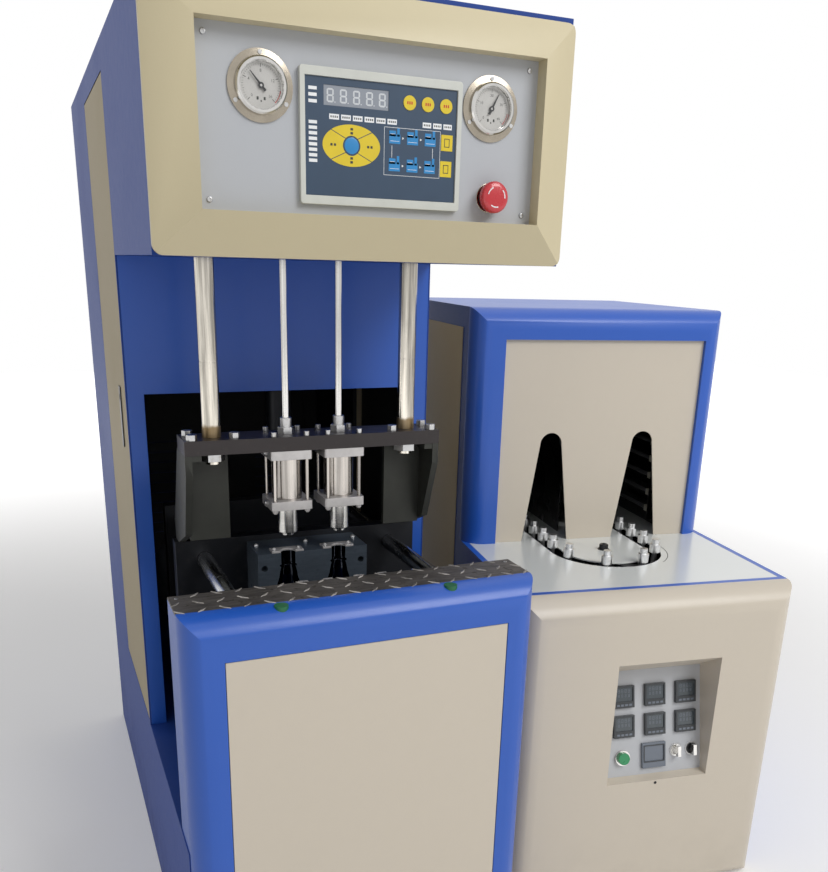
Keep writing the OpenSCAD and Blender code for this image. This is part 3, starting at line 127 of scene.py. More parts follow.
class Graph:
    """The node graph of a material or world, with one method that makes any node."""

    def __init__(self, owner: bpy.types.Material | bpy.types.World) -> None:
        """Starts an empty graph.

        Args:
            owner: the material or world that it belongs to.
        """
        owner.use_nodes = True
        self.owner = owner
        self.tree = owner.node_tree
        self.tree.nodes.clear()

    def value(
        self, kind: str, settings: dict[str, Any] | None = None, inputs: dict[Any, Any] | None = None,
        output: Any = 0,
    ) -> Val | None:
        """Makes a node, sets its options, then its sockets.

        Args:
            kind: the node's type name.
            settings: attributes of the node.
            inputs: socket name or number to a number, vector, colour or Val.
            output: name or number of the output that is wanted.

        Returns:
            That output, ready for arithmetic, or None from a node without any.
        """
        made = self.tree.nodes.new(kind)
        for key, value in (settings or {}).items():
            setattr(made, key, value)
        for key, value in (inputs or {}).items():
            socket = made.inputs[key]
            if isinstance(value, Val):
                self.tree.links.new(value.socket, socket)
            else:
                socket.default_value = (*value, 1.0) if socket.type == "RGBA" else value
        return Val(self, made.outputs[output]) if made.outputs else None

    def place(self, stretch: Triple = (1.0, 1.0, 1.0)) -> Val:
        """Returns Object coordinates, stretched per axis."""
        spot = self.value("ShaderNodeTexCoord", output="Object")
        return self.value("ShaderNodeMapping", inputs={"Vector": spot, "Scale": stretch})

    def axis(self, name: str) -> Val:
        """Returns one of the Object coordinates, X, Y or Z, in metres."""
        spot = self.value("ShaderNodeTexCoord", output="Object")
        return self.value("ShaderNodeSeparateXYZ", inputs={0: spot}, output=name)

    def noise(self, scale: float, detail: float = 3.0, rough: float = 0.55, at: Val | None = None) -> Val:
        """Returns noise from 0 to 1, its scale in features per metre."""
        inputs = {"Vector": at or self.place(), "Scale": scale, "Detail": detail, "Roughness": rough}
        return self.value("ShaderNodeTexNoise", inputs=inputs)

    def blend(self, factor: Val, low: Any, high: Any) -> Val:
        """Returns a colour between low and high by factor."""
        return self.value("ShaderNodeMix", {"data_type": "RGBA"}, {0: factor, 6: low, 7: high}, output=2)

    def bump(self, height: Val, strength: float, distance: float) -> Val:
        """Returns a normal bent by a relief of a depth in metres."""
        inputs = {"Height": height, "Strength": strength, "Distance": distance}
        return self.value("ShaderNodeBump", inputs=inputs)

    def seen(self) -> Val:
        """Returns 1 for rays from the camera, off gloss and through glass, and 0 for the rest."""
        kinds = ("Is Camera Ray", "Is Glossy Ray", "Is Transmission Ray")
        return sum(self.value("ShaderNodeLightPath", output=kind) for kind in kinds)

    def surface(self, **sockets: Any) -> bpy.types.Material:
        """Ends the graph in a Principled shader.

        Args:
            **sockets: what its sockets take, named with _ for a space.

        Returns:
            The material.
        """
        inputs = {key.replace("_", " "): value for key, value in sockets.items()}
        shader = self.value("ShaderNodeBsdfPrincipled", inputs=inputs)
        self.value("ShaderNodeOutputMaterial", inputs={"Surface": shader})
        return self.owner


def shade(colour: Colour, factor: float) -> Colour:
    """Returns a linear colour made darker or lighter, each part at most 1."""
    return tuple(min(1.0, part * factor) for part in colour)


def srgb(red: int, green: int, blue: int) -> Colour:
    """Returns the linear colour of an 8-bit screen colour."""
    parts = (part / 255 for part in (red, green, blue))
    return tuple(p / 12.92 if p <= 0.04045 else ((p + 0.055) / 1.055) ** 2.4 for p in parts)


# Finishes


@dataclass(frozen=True)
class Coating:
    """What every finish has: a name and a linear colour."""

    name: str
    colour: Colour

    def graph(self) -> Graph:
        """Starts the finish's node graph."""
        return Graph(bpy.data.materials.new(self.name))


@dataclass(frozen=True)
class Paint(Coating):
    """Sprayed and baked machine paint with orange peel, dust and a soiled foot."""

    rough: float = 0.34
    peel: float = 0.25
    soil: float = 0.35
    coat: float = 0.25
    gloss: float = 0.5
    foot: float = 0.22
    dust: Colour = (0.23, 0.20, 0.16)

    def build(self) -> bpy.types.Material:
        """Builds the paint's nodes.

        Returns:
            The material.
        """
        g = self.graph()
        cloud = g.noise(3.0, 4.0)
        fine = g.noise(60.0, 4.0)
        foot = 1 - g.axis("Z").above(0.0, self.foot)
        dust = (cloud.above(0.45, 0.75) * 0.35 + foot * g.noise(16.0, 5.0).above(0.35, 0.7)) * self.soil
        tone = g.blend(cloud, shade(self.colour, 0.94), shade(self.colour, 1.05))
        tone = g.blend(fine * 0.12, tone, shade(self.colour, 0.8))
        dusty = tuple(0.55 * own + 0.45 * grey for own, grey in zip(self.colour, self.dust))
        return g.surface(
            Base_Color=g.blend(dust, tone, dusty),
            Roughness=self.rough + dust * 0.35 + (fine - 0.5) * 0.08,
            Coat_Weight=self.coat,
            Coat_Roughness=0.18,
            Specular_IOR_Level=self.gloss,
            Normal=g.bump(g.noise(420.0, 2.0), self.peel, 0.0004),
        )


@dataclass(frozen=True)
class Steel(Coating):
    """Machined or ground metal with tool marks along one axis, smudges and small stains."""

    rough: float = 0.25
    grain: Triple = (1.0, 1.0, 60.0)
    marks: float = 0.12
    stain: float = 0.2
    stain_colour: Colour = (0.16, 0.12, 0.08)
    metal: float = 1.0
    spread: float = 0.12
    fine: float = 26.0

    def build(self) -> bpy.types.Material:
        """Builds the metal's nodes.

        Returns:
            The material.
        """
        g = self.graph()
        streak = g.noise(self.fine, 5.0, 0.65, g.place(self.grain))
        smudge = g.noise(28.0, 4.0)
        spot = g.noise(75.0, 5.0, 0.6).above(0.56, 0.72) * self.stain
        dark, light = shade(self.colour, 1 - self.spread), shade(self.colour, 1 + self.spread / 2)
        return g.surface(
            Base_Color=g.blend(spot, g.blend(streak.above(0.3, 0.7), dark, light), self.stain_colour),
            Roughness=self.rough + (smudge - 0.5) * 0.16 + spot * 0.3 + (streak - 0.5) * 0.1,
            Metallic=self.metal,
            Normal=g.bump(streak, self.marks, 0.0004),
        )


@dataclass(frozen=True)
class StainedChrome(Coating):
    """Hard chrome of the pillars, with a brown oil stain just above the beam and strong light and dark
    streaks along them that are painted reflections.
    """

    stain_foot: float = 0.984
    stain_top: float = 1.006
    oil: Colour = (0.20, 0.13, 0.05)

    def build(self) -> bpy.types.Material:
        """Builds the chrome's nodes.

        Returns:
            The material.
        """
        g = self.graph()
        streak = g.noise(70.0, 4.0, 0.6, g.place((1, 1, 0.04))).above(0.35, 0.65)
        height = g.axis("Z") + (g.noise(60.0, 3.0) - 0.5) * 0.012
        under = 1 - height.above(self.stain_top - 0.006, self.stain_top + 0.002)
        stain = under * height.above(self.stain_foot - 0.02, self.stain_foot)
        # Streaks from 0.45 to 1.3 times the colour: painted reflections along the pillars
        tint = g.blend(streak, shade(self.colour, 0.45), shade(self.colour, 1.3))
        return g.surface(
            Base_Color=g.blend(stain * 0.85, tint, self.oil),
            Roughness=0.1 + streak * 0.08 + stain * 0.3,
            Metallic=1.0,
            Normal=g.bump(streak, 0.04, 0.0002),
        )


@dataclass(frozen=True)
class Moulded(Coating):
    """Moulded plastic or rubber with a fine grain."""

    rough: float = 0.4
    grain: float = 0.2
    coat: float = 0.0

    def build(self) -> bpy.types.Material:
        """Builds the plastic's nodes.

        Returns:
            The material.
        """
        g = self.graph()
        cloud = g.noise(45.0, 3.0)
        return g.surface(
            Base_Color=g.blend(cloud, shade(self.colour, 0.9), shade(self.colour, 1.08)),
            Roughness=self.rough + (cloud - 0.5) * 0.12,
            Coat_Weight=self.coat,
            Normal=g.bump(g.noise(1500.0, 2.0), self.grain, 0.0002),
        )


@dataclass(frozen=True)
class Glazing(Coating):
    """Clear window glass with faint smears."""

    def build(self) -> bpy.types.Material:
        """Builds the glass's nodes.

        Returns:
            The material.
        """
        g = self.graph()
        smear = g.noise(60.0, 4.0)
        g.owner.surface_render_method = "BLENDED"
        return g.surface(
            Base_Color=g.blend(smear, self.colour, shade(self.colour, 0.93)),
            Roughness=0.02 + smear * 0.06,
            Alpha=0.03 + smear * 0.04,
            IOR=1.45,
        )


@dataclass(frozen=True)
class Reflector(Coating):
    """Bright rolled sheet behind lamps, drawn near black as painted shade of the hood's inside, yellowed by
    heat near its middle.
    """

    burnt: Colour = (0.07, 0.06, 0.04)

    def build(self) -> bpy.types.Material:
        """Builds the sheet's nodes.

        Returns:
            The material.
        """
        g = self.graph()
        wave = g.noise(6.0, 3.0, 0.5, g.place((1, 1, 4)))
        heat = g.noise(9.0, 3.0).above(0.4, 0.8)
        return g.surface(
            Base_Color=g.blend(heat * 0.6, self.colour, self.burnt),
            Roughness=0.22 + heat * 0.2,
            Metallic=1.0,
            Normal=g.bump(wave, 0.3, 0.002),
        )


class Finish(Enum):
    """Finishes of the machine, named for what they cover."""

    BLUE = Paint("blue_enamel", srgb(34, 90, 188), 0.36, 0.3, 0.3, coat=0.12)
    # Painted shade: the machine blue drawn darker for the sides and cabinet sheets that stand in shadow
    SHADED_BLUE = Paint("cabinet_blue_painted_shade", srgb(32, 66, 144), 0.5, 0.3, 0.4, coat=0.0, gloss=0.2)
    CREAM = Paint("sprayed_cream", srgb(208, 198, 182), 0.42, 0.25, 0.22, coat=0.1)
    # Painted shade: the machine cream drawn darker for the door and side panels that stand in shadow
    SHADED_CREAM = Paint("side_cream_painted_shade", srgb(176, 163, 134), 0.55, 0.3, 0.4, coat=0.0, gloss=0.2)
    BEZEL = Paint("bezel_cream", srgb(204, 192, 158), 0.45, 0.2, 0.12, coat=0.08)
    PANEL = Paint("sprayed_grey", srgb(182, 185, 190), 0.52, 0.2, 0.08, coat=0.0)
    BOARD = Paint("board_white", srgb(188, 190, 194), 0.45, 0.2, 0.12)
    TABLE = Paint("white_enamel", srgb(226, 229, 226), 0.22, 0.12, 0.2, coat=0.5)
    # Painted shade: near-black for the inner faces of cabinets, boxes, hoods and louvres, where shade falls
    INNER_SHADE = Paint("inside_painted_shade", srgb(13, 14, 18), 0.65, 0.2, 0.2, coat=0.0)
    FRAME = Paint("conveyor_grey", srgb(108, 112, 118), 0.5, 0.2, 0.6)
    MOTOR = Paint("motor_enamel", srgb(58, 92, 122), 0.5, 0.4, 0.6)
    TANK = Paint("tank_enamel", srgb(120, 126, 132), 0.45, 0.3, 0.5)
    BLACKENED = Steel("black_oxide", srgb(22, 24, 29), 0.42, (1, 1, 1), 0.2, 0.25, (0.03, 0.027, 0.025), 0.5)
    BRACKET = Steel("bracket_grey", srgb(50, 51, 46), 0.5, (1, 1, 1), 0.2, 0.3, (0.04, 0.035, 0.03), 0.3)
    BEAM = Steel("beam_black", srgb(48, 43, 43), 0.4, (0.2, 1, 1), 0.25, 0.2, (0.08, 0.07, 0.06), 0.4)
    CHROME = Steel("hard_chrome", (0.60, 0.59, 0.57), 0.12, (1, 1, 0.1), 0.05, 0.12, (0.30, 0.20, 0.09))
    BAR = Steel("tie_bar_chrome", (0.62, 0.63, 0.64), 0.2, (1, 0.1, 1), 0.08, 0.3, (0.12, 0.10, 0.08))
    ZINC = Steel("plated_zinc", (0.46, 0.46, 0.46), 0.3, (1, 1, 1), 0.15, 0.25, (0.28, 0.22, 0.12))
    NOZZLE = Steel("turned_nozzle", (0.55, 0.54, 0.52), 0.22, (0.3, 0.3, 8), 0.15, 0.1, (0.3, 0.26, 0.2))
    MOULD = Steel("milled_alloy", srgb(90, 100, 111), 0.34, (1, 1, 6), 0.2, 0.35, (0.05, 0.06, 0.07), 0.6)
    CAVITY = Steel(
        "polished_cavity", srgb(62, 66, 74), 0.12, (1, 1, 0.3), 0.05, 0.1, (0.03, 0.03, 0.035), spread=0.6
    )
    CHAIN = Steel("oiled_chain", (0.36, 0.36, 0.37), 0.3, (1, 1, 1), 0.2, 0.5, (0.05, 0.04, 0.03))
    CHECKER = Steel(
        "checker_plate", (0.11, 0.10, 0.09), 0.5, (1, 6, 1), 0.25, 0.7, (0.035, 0.028, 0.022), 0.6, 0.5
    )
    LOZENGE = Steel(
        "lozenge_tops", (0.34, 0.32, 0.30), 0.36, (1, 2, 1), 0.25, 0.8, (0.07, 0.06, 0.05), 0.8, 0.6
    )
    GAUGE = Steel("gauge_steel", (0.36, 0.32, 0.26), 0.2, (1, 1, 1), 0.04, 0.1, (0.3, 0.25, 0.18))
    HOLDER = Steel("preform_holder", (0.80, 0.80, 0.80), 0.3, (1, 1, 6), 0.1, 0.25, (0.3, 0.28, 0.25))
    SATIN = Steel("satin_aluminium", (0.56, 0.54, 0.53), 0.45, (1, 1, 1), 0.1, 0.08, (0.4, 0.34, 0.25), 0.6)
    # Its strong streaks along the tube (spread 0.45) are partly grinding grain and partly painted reflection
    TUBE_CHROME = Steel(
        "cylinder_tube", (0.44, 0.41, 0.38), 0.2, (1, 1, 0.02), 0.05, 0.1, (0.3, 0.24, 0.15), 1.0, 0.45, 55.0
    )
    PILLAR = StainedChrome("pillar_chrome", (0.62, 0.58, 0.51))
    BLACK = Moulded("black_plastic", srgb(24, 24, 27), 0.38)
    WHITE = Moulded("white_plastic", srgb(204, 206, 199), 0.4)
    NAVY = Moulded("membrane_navy", srgb(36, 60, 84), 0.42, 0.1, 0.1)
    YELLOW = Moulded("key_yellow", srgb(222, 196, 34), 0.35, 0.1, 0.2)
    KEY_BLUE = Moulded("key_blue", srgb(26, 132, 196), 0.32, 0.1, 0.3)
    PRINT_WHITE = Moulded("print_white", srgb(236, 238, 240), 0.45, 0.1)
    PRINT_DARK = Moulded("print_dark", srgb(44, 46, 40), 0.5, 0.1)
    WINDOW = Moulded("display_window", srgb(142, 148, 158), 0.18, 0.05, 0.5)
    DIGIT = Moulded("digit_segments", srgb(206, 210, 214), 0.3, 0.05, 0.3)
    DIAL = Moulded("dial_white", srgb(206, 204, 200), 0.5, 0.1)
    DIAL_RED = Moulded("dial_red", srgb(190, 40, 36), 0.5, 0.1)
    RED = Moulded("red_button", srgb(194, 32, 44), 0.28, 0.1, 0.4)
    GREEN = Moulded("green_button", srgb(22, 138, 82), 0.3, 0.1, 0.3)
    START_GREEN = Moulded("green_start", srgb(20, 98, 56), 0.42)
    METER = Moulded("meter_case", srgb(42, 46, 50), 0.35, 0.2, 0.2)
    METER_FACE = Moulded("meter_face", srgb(54, 64, 70), 0.2, 0.05, 0.4)
    METER_GREY = Moulded("meter_grey", srgb(98, 106, 118), 0.25, 0.05, 0.4)
    CERAMIC = Moulded("lamp_ceramic", srgb(170, 166, 152), 0.6, 0.5)
    # Painted shade: the quartz tubes drawn dark for the hood's inside
    TUBE = Moulded("quartz_tube_painted_shade", srgb(92, 92, 94), 0.12, 0.02, 0.5)
    GLASS = Glazing("clear_glass", (0.30, 0.31, 0.32))
    # Painted shade: the reflector's metal colour darkened for the hood's inside
    SHADED_REFLECTOR = Reflector("lamp_reflector", (0.10, 0.10, 0.105))

    @cached_property
    def material(self) -> bpy.types.Material:
        """The finish's material, built once."""
        return self.value.build()


Test = Callable[[Vector, Vector], bool]
Zone = tuple[Finish, Test]


# The bench


def move(x: float, y: float, z: float = 0.0) -> Matrix:
    """Returns the matrix of a shift."""
    return Matrix.Translation((x, y, z))


def spin(degrees: float, axis: str = "Z") -> Matrix:
    """Returns the matrix of a turn about an axis."""
    return Matrix.Rotation(math.radians(degrees), 4, axis)


def toward(origin: Sequence[float], direction: Sequence[float]) -> Matrix:
    """Returns the matrix that moves (0, 0, 0) to the origin and turns +Z to the direction."""
    return Matrix.Translation(origin) @ Vector(direction).to_track_quat("Z", "Y").to_matrix().to_4x4()


def facing(x: float, y: float, z: float) -> Matrix:
    """Returns the matrix of a flat drawing that stands at (x, y, z) and faces the front, -Y."""
    return move(x, y, z) @ spin(90, "X")


def behind(x: float, y: float, z: float) -> Matrix:
    """Returns the matrix of a flat drawing that stands at (x, y, z) and faces the back, +Y."""
    return move(x, y, z) @ spin(180) @ spin(90, "X")


def arc(rx: float, ry: float, start: float, end: float, steps: int) -> list[Vector]:
    """Returns points along an ellipse, between two angles in degrees."""
    angles = [math.radians(start + (end - start) * step / steps) for step in range(steps + 1)]
    return [Vector((rx * math.cos(angle), ry * math.sin(angle))) for angle in angles]


def span(node: str) -> tuple[Vector, Vector]:
    """Returns the lowest and the highest corner of a CAD node."""
    low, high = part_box(node)
    return low / MM, high / MM


HEATER = move(346.2, -345.6) @ spin(-8.8)
FROM_HEATER = HEATER.inverted()
BOARD = HEATER @ move(0, -28, 285) @ spin(-math.degrees(math.atan(50 / 215)), "X")


def on_board(across: float, up: float) -> Matrix:
    """Returns the matrix of a drawing on the heater's inclined board, facing out of it."""
    return BOARD @ move(across, 0, up) @ spin(90, "X")


class Shop:
    """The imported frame's nodes, with the body and the material slot of each."""

    nodes: dict[str, bpy.types.Object] = {}
    body: dict[str, str] = {}
    slot: dict[str, str] = {}

    @classmethod
    def open(cls, frame: dict[str, Any]) -> None:
        """Notes what the pieces need of the frame.
        """
        record = frame["record"]
        cls.nodes.update(frame["nodes"])
        cls.slot.update((part["node"], part["material_slot"]) for part in record["subparts"])
        for body, nodes in record["behaviour"]["bodies"].items():
            cls.body.update(dict.fromkeys(nodes, body))


class Work:
    """A mesh on the bench: bmesh operators shape it in millimetres and done() makes the piece."""

    def __init__(self, node: str | None = None) -> None:
        """Starts empty, or from a merged copy of a CAD node.

        Args:
            node: the node that is copied.
        """
        self.bm = bmesh.new()
        if node:
            self.bm.from_mesh(Shop.nodes[node].data)
            bmesh.ops.scale(self.bm, vec=(1 / MM,) * 3, verts=self.bm.verts)
            bmesh.ops.remove_doubles(self.bm, verts=self.bm.verts, dist=0.002)
            flat = math.radians(0.4)
            bmesh.ops.dissolve_limit(self.bm, angle_limit=flat, verts=self.bm.verts, edges=self.bm.edges)

    def block(self, low: Triple, high: Triple, at: Matrix = Matrix()) -> None:
        """Adds a box.

        Args:
            low: its lowest corner.
            high: its highest corner.
            at: where the drawing goes.
        """
        size = [b - a for a, b in zip(low, high)]
        middle = [(a + b) / 2 for a, b in zip(low, high)]
        bmesh.ops.create_cube(self.bm, size=1, matrix=at @ move(*middle) @ Matrix.Diagonal((*size, 1)))

    def bar(self, x: float, y: float, w: float, h: float, low: float, high: float, at: Matrix) -> None:
        """Adds a flat rectangle centred on (x, y) with a thickness."""
        self.block((x - w / 2, y - h / 2, low), (x + w / 2, y + h / 2, high), at)

    def rod(self, start: Triple, end: Triple, radius: float, end_radius: float, sides: int) -> None:
        """Adds a round or many-sided bar between two points.

        Args:
            start: middle of the first end.
            end: middle of the other end.
            radius: radius at the start.
            end_radius: radius at the end.
            sides: number of sides.
        """
        a, b = Vector(start), Vector(end)
        bmesh.ops.create_cone(
            self.bm, cap_ends=True, cap_tris=False, segments=sides, radius1=radius, radius2=end_radius,
            depth=(b - a).length, matrix=toward((a + b) / 2, b - a),
        )

    def turned(self, profile: Iterable[Pair], at: Matrix, sides: int = 64) -> None:
        """Adds a shape turned about Z.

        Args:
            profile: (radius, height) points from one end to the other.
            at: where the drawing goes.
            sides: steps of the spin.
        """
        part = bmesh.new()
        points = [part.verts.new((r, 0, z)) for r, z in profile]
        edges = [part.edges.new(pair) for pair in zip(points, points[1:])]
        bmesh.ops.spin(
            part, geom=points + edges, cent=(0, 0, 0), axis=(0, 0, 1), angle=math.tau, steps=sides,
            use_merge=True,
        )
        self.join(part, at)

    def plate(
        self, outline: Iterable[Pair], low: float, high: float, at: Matrix, taper: Pair = (1, 1),
        closed: bool = True,
    ) -> None:
        """Adds a flat outline with a thickness.

        Args:
            outline: (x, y) corners in order.
            low: height of its back.
            high: height of its front.
            at: where the drawing goes.
            taper: size of its front over its back, in x and y.
            closed: whether its back is kept, which one sunk in a sheet can do without.
        """
        part = bmesh.new()
        face = part.faces.new([part.verts.new((x, y, low)) for x, y in outline])
        grown = bmesh.ops.extrude_face_region(part, geom=[face])
        tops = [v for v in grown["geom"] if isinstance(v, bmesh.types.BMVert)]
        bmesh.ops.scale(part, vec=(*taper, 1), verts=tops)
        bmesh.ops.translate(part, verts=tops, vec=(0, 0, high - low))
        if not closed:
            bmesh.ops.delete(part, geom=[face], context="FACES_ONLY")
        self.join(part, at)

    def screw(
        self, place: Triple, direction: Triple, radius: float, height: float, at: Matrix = Matrix()
    ) -> None:
        """Adds a domed screw head with a hexagon socket.

        Args:
            place: middle of its seat.
            direction: where the head points.
            radius: radius of the head.
            height: height of the head.
            at: where the drawing goes.
        """
        shape = ((0, 0), (1, 0), (1, 0.55), (0.86, 0.9), (0.6, 1), (0.5, 1), (0.42, 0.5), (0, 0.5))
        self.turned([(radius * r, height * z) for r, z in shape], at @ toward(place, direction), 18)

    def number(self, text: str, size: float, at: Matrix, depth: float = 0.1) -> None:
        """Adds a short number, centred, in the matrix's XY plane.

        Args:
            text: the number.
            size: height of its figures.
            at: where it goes.
            depth: how thick it is.
        """
        curve = bpy.data.curves.new("number", "FONT")
        curve.body = text
        curve.size = size
        curve.align_x = "CENTER"
        curve.align_y = "CENTER"
        curve.extrude = depth / 2
        curve.resolution_u = 2
        holder = bpy.data.objects.new("number", curve)
        bpy.context.scene.collection.objects.link(holder)
        mesh = holder.to_mesh().copy()
        mesh.transform(at)
        self.bm.from_mesh(mesh)
        bpy.data.objects.remove(holder)
        bpy.data.curves.remove(curve)
        bpy.data.meshes.remove(mesh)

    def join(self, part: bmesh.types.BMesh, at: Matrix) -> None:
        """Merges a shape's doubles, turns its faces out, adds it and frees it.

        Args:
            part: the shape.
            at: where it goes.
        """
        bmesh.ops.remove_doubles(part, verts=part.verts, dist=0.0005)
        bmesh.ops.transform(part, matrix=at, verts=part.verts)
        bmesh.ops.recalc_face_normals(part, faces=part.faces)
        spare = bpy.data.meshes.new("spare")
        part.to_mesh(spare)
        part.free()
        self.bm.from_mesh(spare)
        bpy.data.meshes.remove(spare)

    def ease(self, width: float, angle: float = 50) -> "Work":
        """Rounds the sharp outer edges that have room for it.

        Args:
            width: the round's size; with 0 nothing changes.
            angle: edges that turn less than this stay.

        Returns:
            This work.
        """
        room = 1.6 * width
        sharp = {
            e for e in self.bm.edges
            if len(e.link_faces) == 2 and e.is_convex and e.calc_face_angle(0) > math.radians(angle)
        }
        for _ in range(3):
            sharp -= {
                e for e in sharp
                if any(o not in sharp and o.calc_length() < room for v in e.verts for o in v.link_edges)
                or any(
                    sum(1 for o in v.link_edges if o in sharp) > 2
                    and min(o.calc_length() for o in v.link_edges if o in sharp) < 2.2 * room
                    for v in e.verts
                )
            }
        if sharp and width:
            bmesh.ops.bevel(
                self.bm, geom=list(sharp), offset=width, offset_type="OFFSET", segments=2, profile=0.5,
                affect="EDGES", clamp_overlap=True, material=-1,
            )
        return self

    def done(
        self, name: str, finish: Finish, node: str, zones: Sequence[Zone] = (), sharp: float = 40,
        replaces: Sequence[str] = (),
    ) -> None:
        """Makes the piece, in metres, riding on the body of a CAD node.

        Args:
            name: the piece's name.
            finish: its main finish.
            node: the node that it sits on or stands for.
            zones: finishes of some faces, each with a test of a face's middle and normal.
            sharp: faces that meet at more than this angle have a crisp edge.
            replaces: CAD nodes that it stands for.
        """
        for face in self.bm.faces:
            middle = face.calc_center_median()
            for number, (_, where) in enumerate(zones, 1):
                if where(middle, face.normal):
                    face.material_index = number
        bmesh.ops.scale(self.bm, vec=(MM,) * 3, verts=self.bm.verts)
        mesh = bpy.data.meshes.new(name)
        self.bm.to_mesh(mesh)
        self.bm.free()
        for each in (finish, *(other for other, _ in zones)):
            mesh.materials.append(each.material)
        for layer in ("custom_normal", "sharp_face"):
            if layer in mesh.attributes:
                mesh.attributes.remove(mesh.attributes[layer])
        mesh.shade_smooth()
        mesh.set_sharp_from_angle(angle=math.radians(sharp))
        piece = bpy.data.objects.new(name, mesh)
        bpy.context.scene.collection.objects.link(piece)
        piece.modifiers.new("weighted", "WEIGHTED_NORMAL").keep_sharp = True
        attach(piece, Shop.body[node])
        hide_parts(*replaces)
        log.info("%s: %d faces on %s", name, len(mesh.polygons), Shop.body[node])


def dress(node: str, finish: Finish, width: float = 0.0, *zones: Zone, sharp: float = 40) -> None:
    """Stands a finished copy, its edges eased by a width, in for a CAD node."""
    Work(node).ease(width).done(f"{node}_piece", finish, node, zones, sharp, [node])


def louvres(
    name: str, node: str, finish: Finish, width: float, feet: Iterable[Triple], at: Matrix = Matrix()
) -> None:
    """Adds pressed hoods over a back's vent slots, open at the bottom, with painted shade on their inner
    faces.

    Args:
        name: the piece's name.
        node: the node with the slots.
        finish: the sheet's finish.
        width: length of a slot.
        feet: middle of each slot's bottom edge.
        at: where the cabinet stands.
    """
    top, end, cheek = 11.5, width / 2 + 3, 0.8
    outer = [(0, top), (3.4, top - 1.2), (5.8, top - 5), (6.4, 1), (6.4, -4)]
    inner = [(5.6, -4), (5.6, 1), (5, top - 5.4), (2.9, top - 2), (0, top - 1)]
    work = Work()
    for foot in feet:
        side = at @ behind(*foot) @ spin(-90, "Y")
        work.plate([*outer, *inner], -end, end, side)
        for x in (-end, end - cheek):
            work.plate([*outer, (0, -3)], x, x + cheek, side)
    turn = at.inverted().to_3x3()
    work.done(name, finish, node, [(Finish.INNER_SHADE, lambda c, n: (turn @ n).y < -0.1)])


# Sub-assemblies


@dataclass
class BlowingCabinet:
    """Base box, tall cabinet with its door and panels, and the sheet round the press."""

    half: float = 300.0
    back: float = 774.2
    rear_sheet: float = 760.0
    middle: Triple = (0, 380, 980)
    reach: Triple = (300, 380, 620)
    lock: Pair = (-302.5, 89.0)
    lock_y: Pair = (77, 101)
    lock_z: Pair = (924, 1041)
    flap_z: Pair = (931, 999)
    key_z: float = 1020.0
    screws_x: Triple = (-215, 0, 215)
    screws_low: float = 474.0
    screws_inset: float = 18.0
    vents: tuple[Pair, ...] = ((-120, 546), (-120, 1123), (170, 546), (170, 1123))
    vent_width: float = 110.0
    vent_y: float = 776.0
    vent_pitch: float = 28.0
    vent_count: int = 10

    def build(self) -> None:
        """Dresses the sheets, and adds the door's lock, the panels' screws and the louvres."""
        # Painted shade: base, shell and rear strip take the darkened blue, door and panels the darkened
        # cream, inner faces near-black
        dress("blower_base", Finish.SHADED_BLUE, 1.2)
        dress("cabinet_shell", Finish.SHADED_BLUE, 0.8, (Finish.INNER_SHADE, self._inner))
        dress("front_sheet", Finish.BLUE, 0.6)
        inside = (Finish.INNER_SHADE, lambda c, n: abs(c.x) < self.half - 1 and n.x > 0.5)
        dress("side_door", Finish.SHADED_CREAM, 0.9, (Finish.BLACK, self._on_lock), inside)
        rear = (Finish.SHADED_BLUE, lambda c, n: c.y > self.back)
        dress("fixed_panels", Finish.SHADED_CREAM, 0.5, rear, (Finish.INNER_SHADE, self._hidden))
        self._lock()
        self._screws()
        rises = [self.vent_pitch * i for i in range(self.vent_count)]
        feet = [(x, self.vent_y, low + rise) for x, low in self.vents for rise in rises]
        louvres("rear_louvres", "fixed_panels", Finish.SHADED_BLUE, self.vent_width, feet)

    def _on_lock(self, c: Vector, n: Vector) -> bool:
        """Tells whether a face is on the flush lock's plate."""
        low, high = self.lock_z
        return c.x < 0.1 - self.half and self.lock_y[0] < c.y < self.lock_y[1] and low < c.z < high

    def _hidden(self, c: Vector, n: Vector) -> bool:
        """Tells whether a face is on the inner side of the panels."""
        return c.x < self.half - 1 and n.x < -0.5 or self.rear_sheet < c.y < self.back

    def _inner(self, c: Vector, n: Vector) -> bool:
        """Tells whether a face looks into the cabinet."""
        inward = Vector([(middle - at) / reach for middle, at, reach in zip(self.middle, c, self.reach)])
        return abs(c.x) < self.half - 0.5 and 0.5 < c.y < 773.5 and c.z < 1607.5 and n.dot(inward) > 0

    def _lock(self) -> None:
        """Adds the flap and the push key of the door's flush lock."""
        work = Work()
        at = move(*self.lock) @ spin(-90, "Y")
        foot, head = self.flap_z
        work.block((foot, -7, -0.4), (head, 7, 0), at)
        work.turned([(0, 0), (6, 0), (6, -0.1), (5.4, 0), (0, 0)], at @ move(self.key_z, 0), 32)
        work.ease(0.3).done("door_lock_key", Finish.BLACK, "side_door")

    def _screws(self) -> None:
        """Adds the screws that hold the louvred rear panel."""
        work = Work()
        top = span("fixed_panels")[1]
        for x in self.screws_x:
            for z in (top.z - self.screws_inset, self.screws_low):
                work.screw((x, top.y - 0.2, z), (0, 1, 0), 4, 1.8)
        work.done("rear_panel_screws", Finish.ZINC, "fixed_panels")


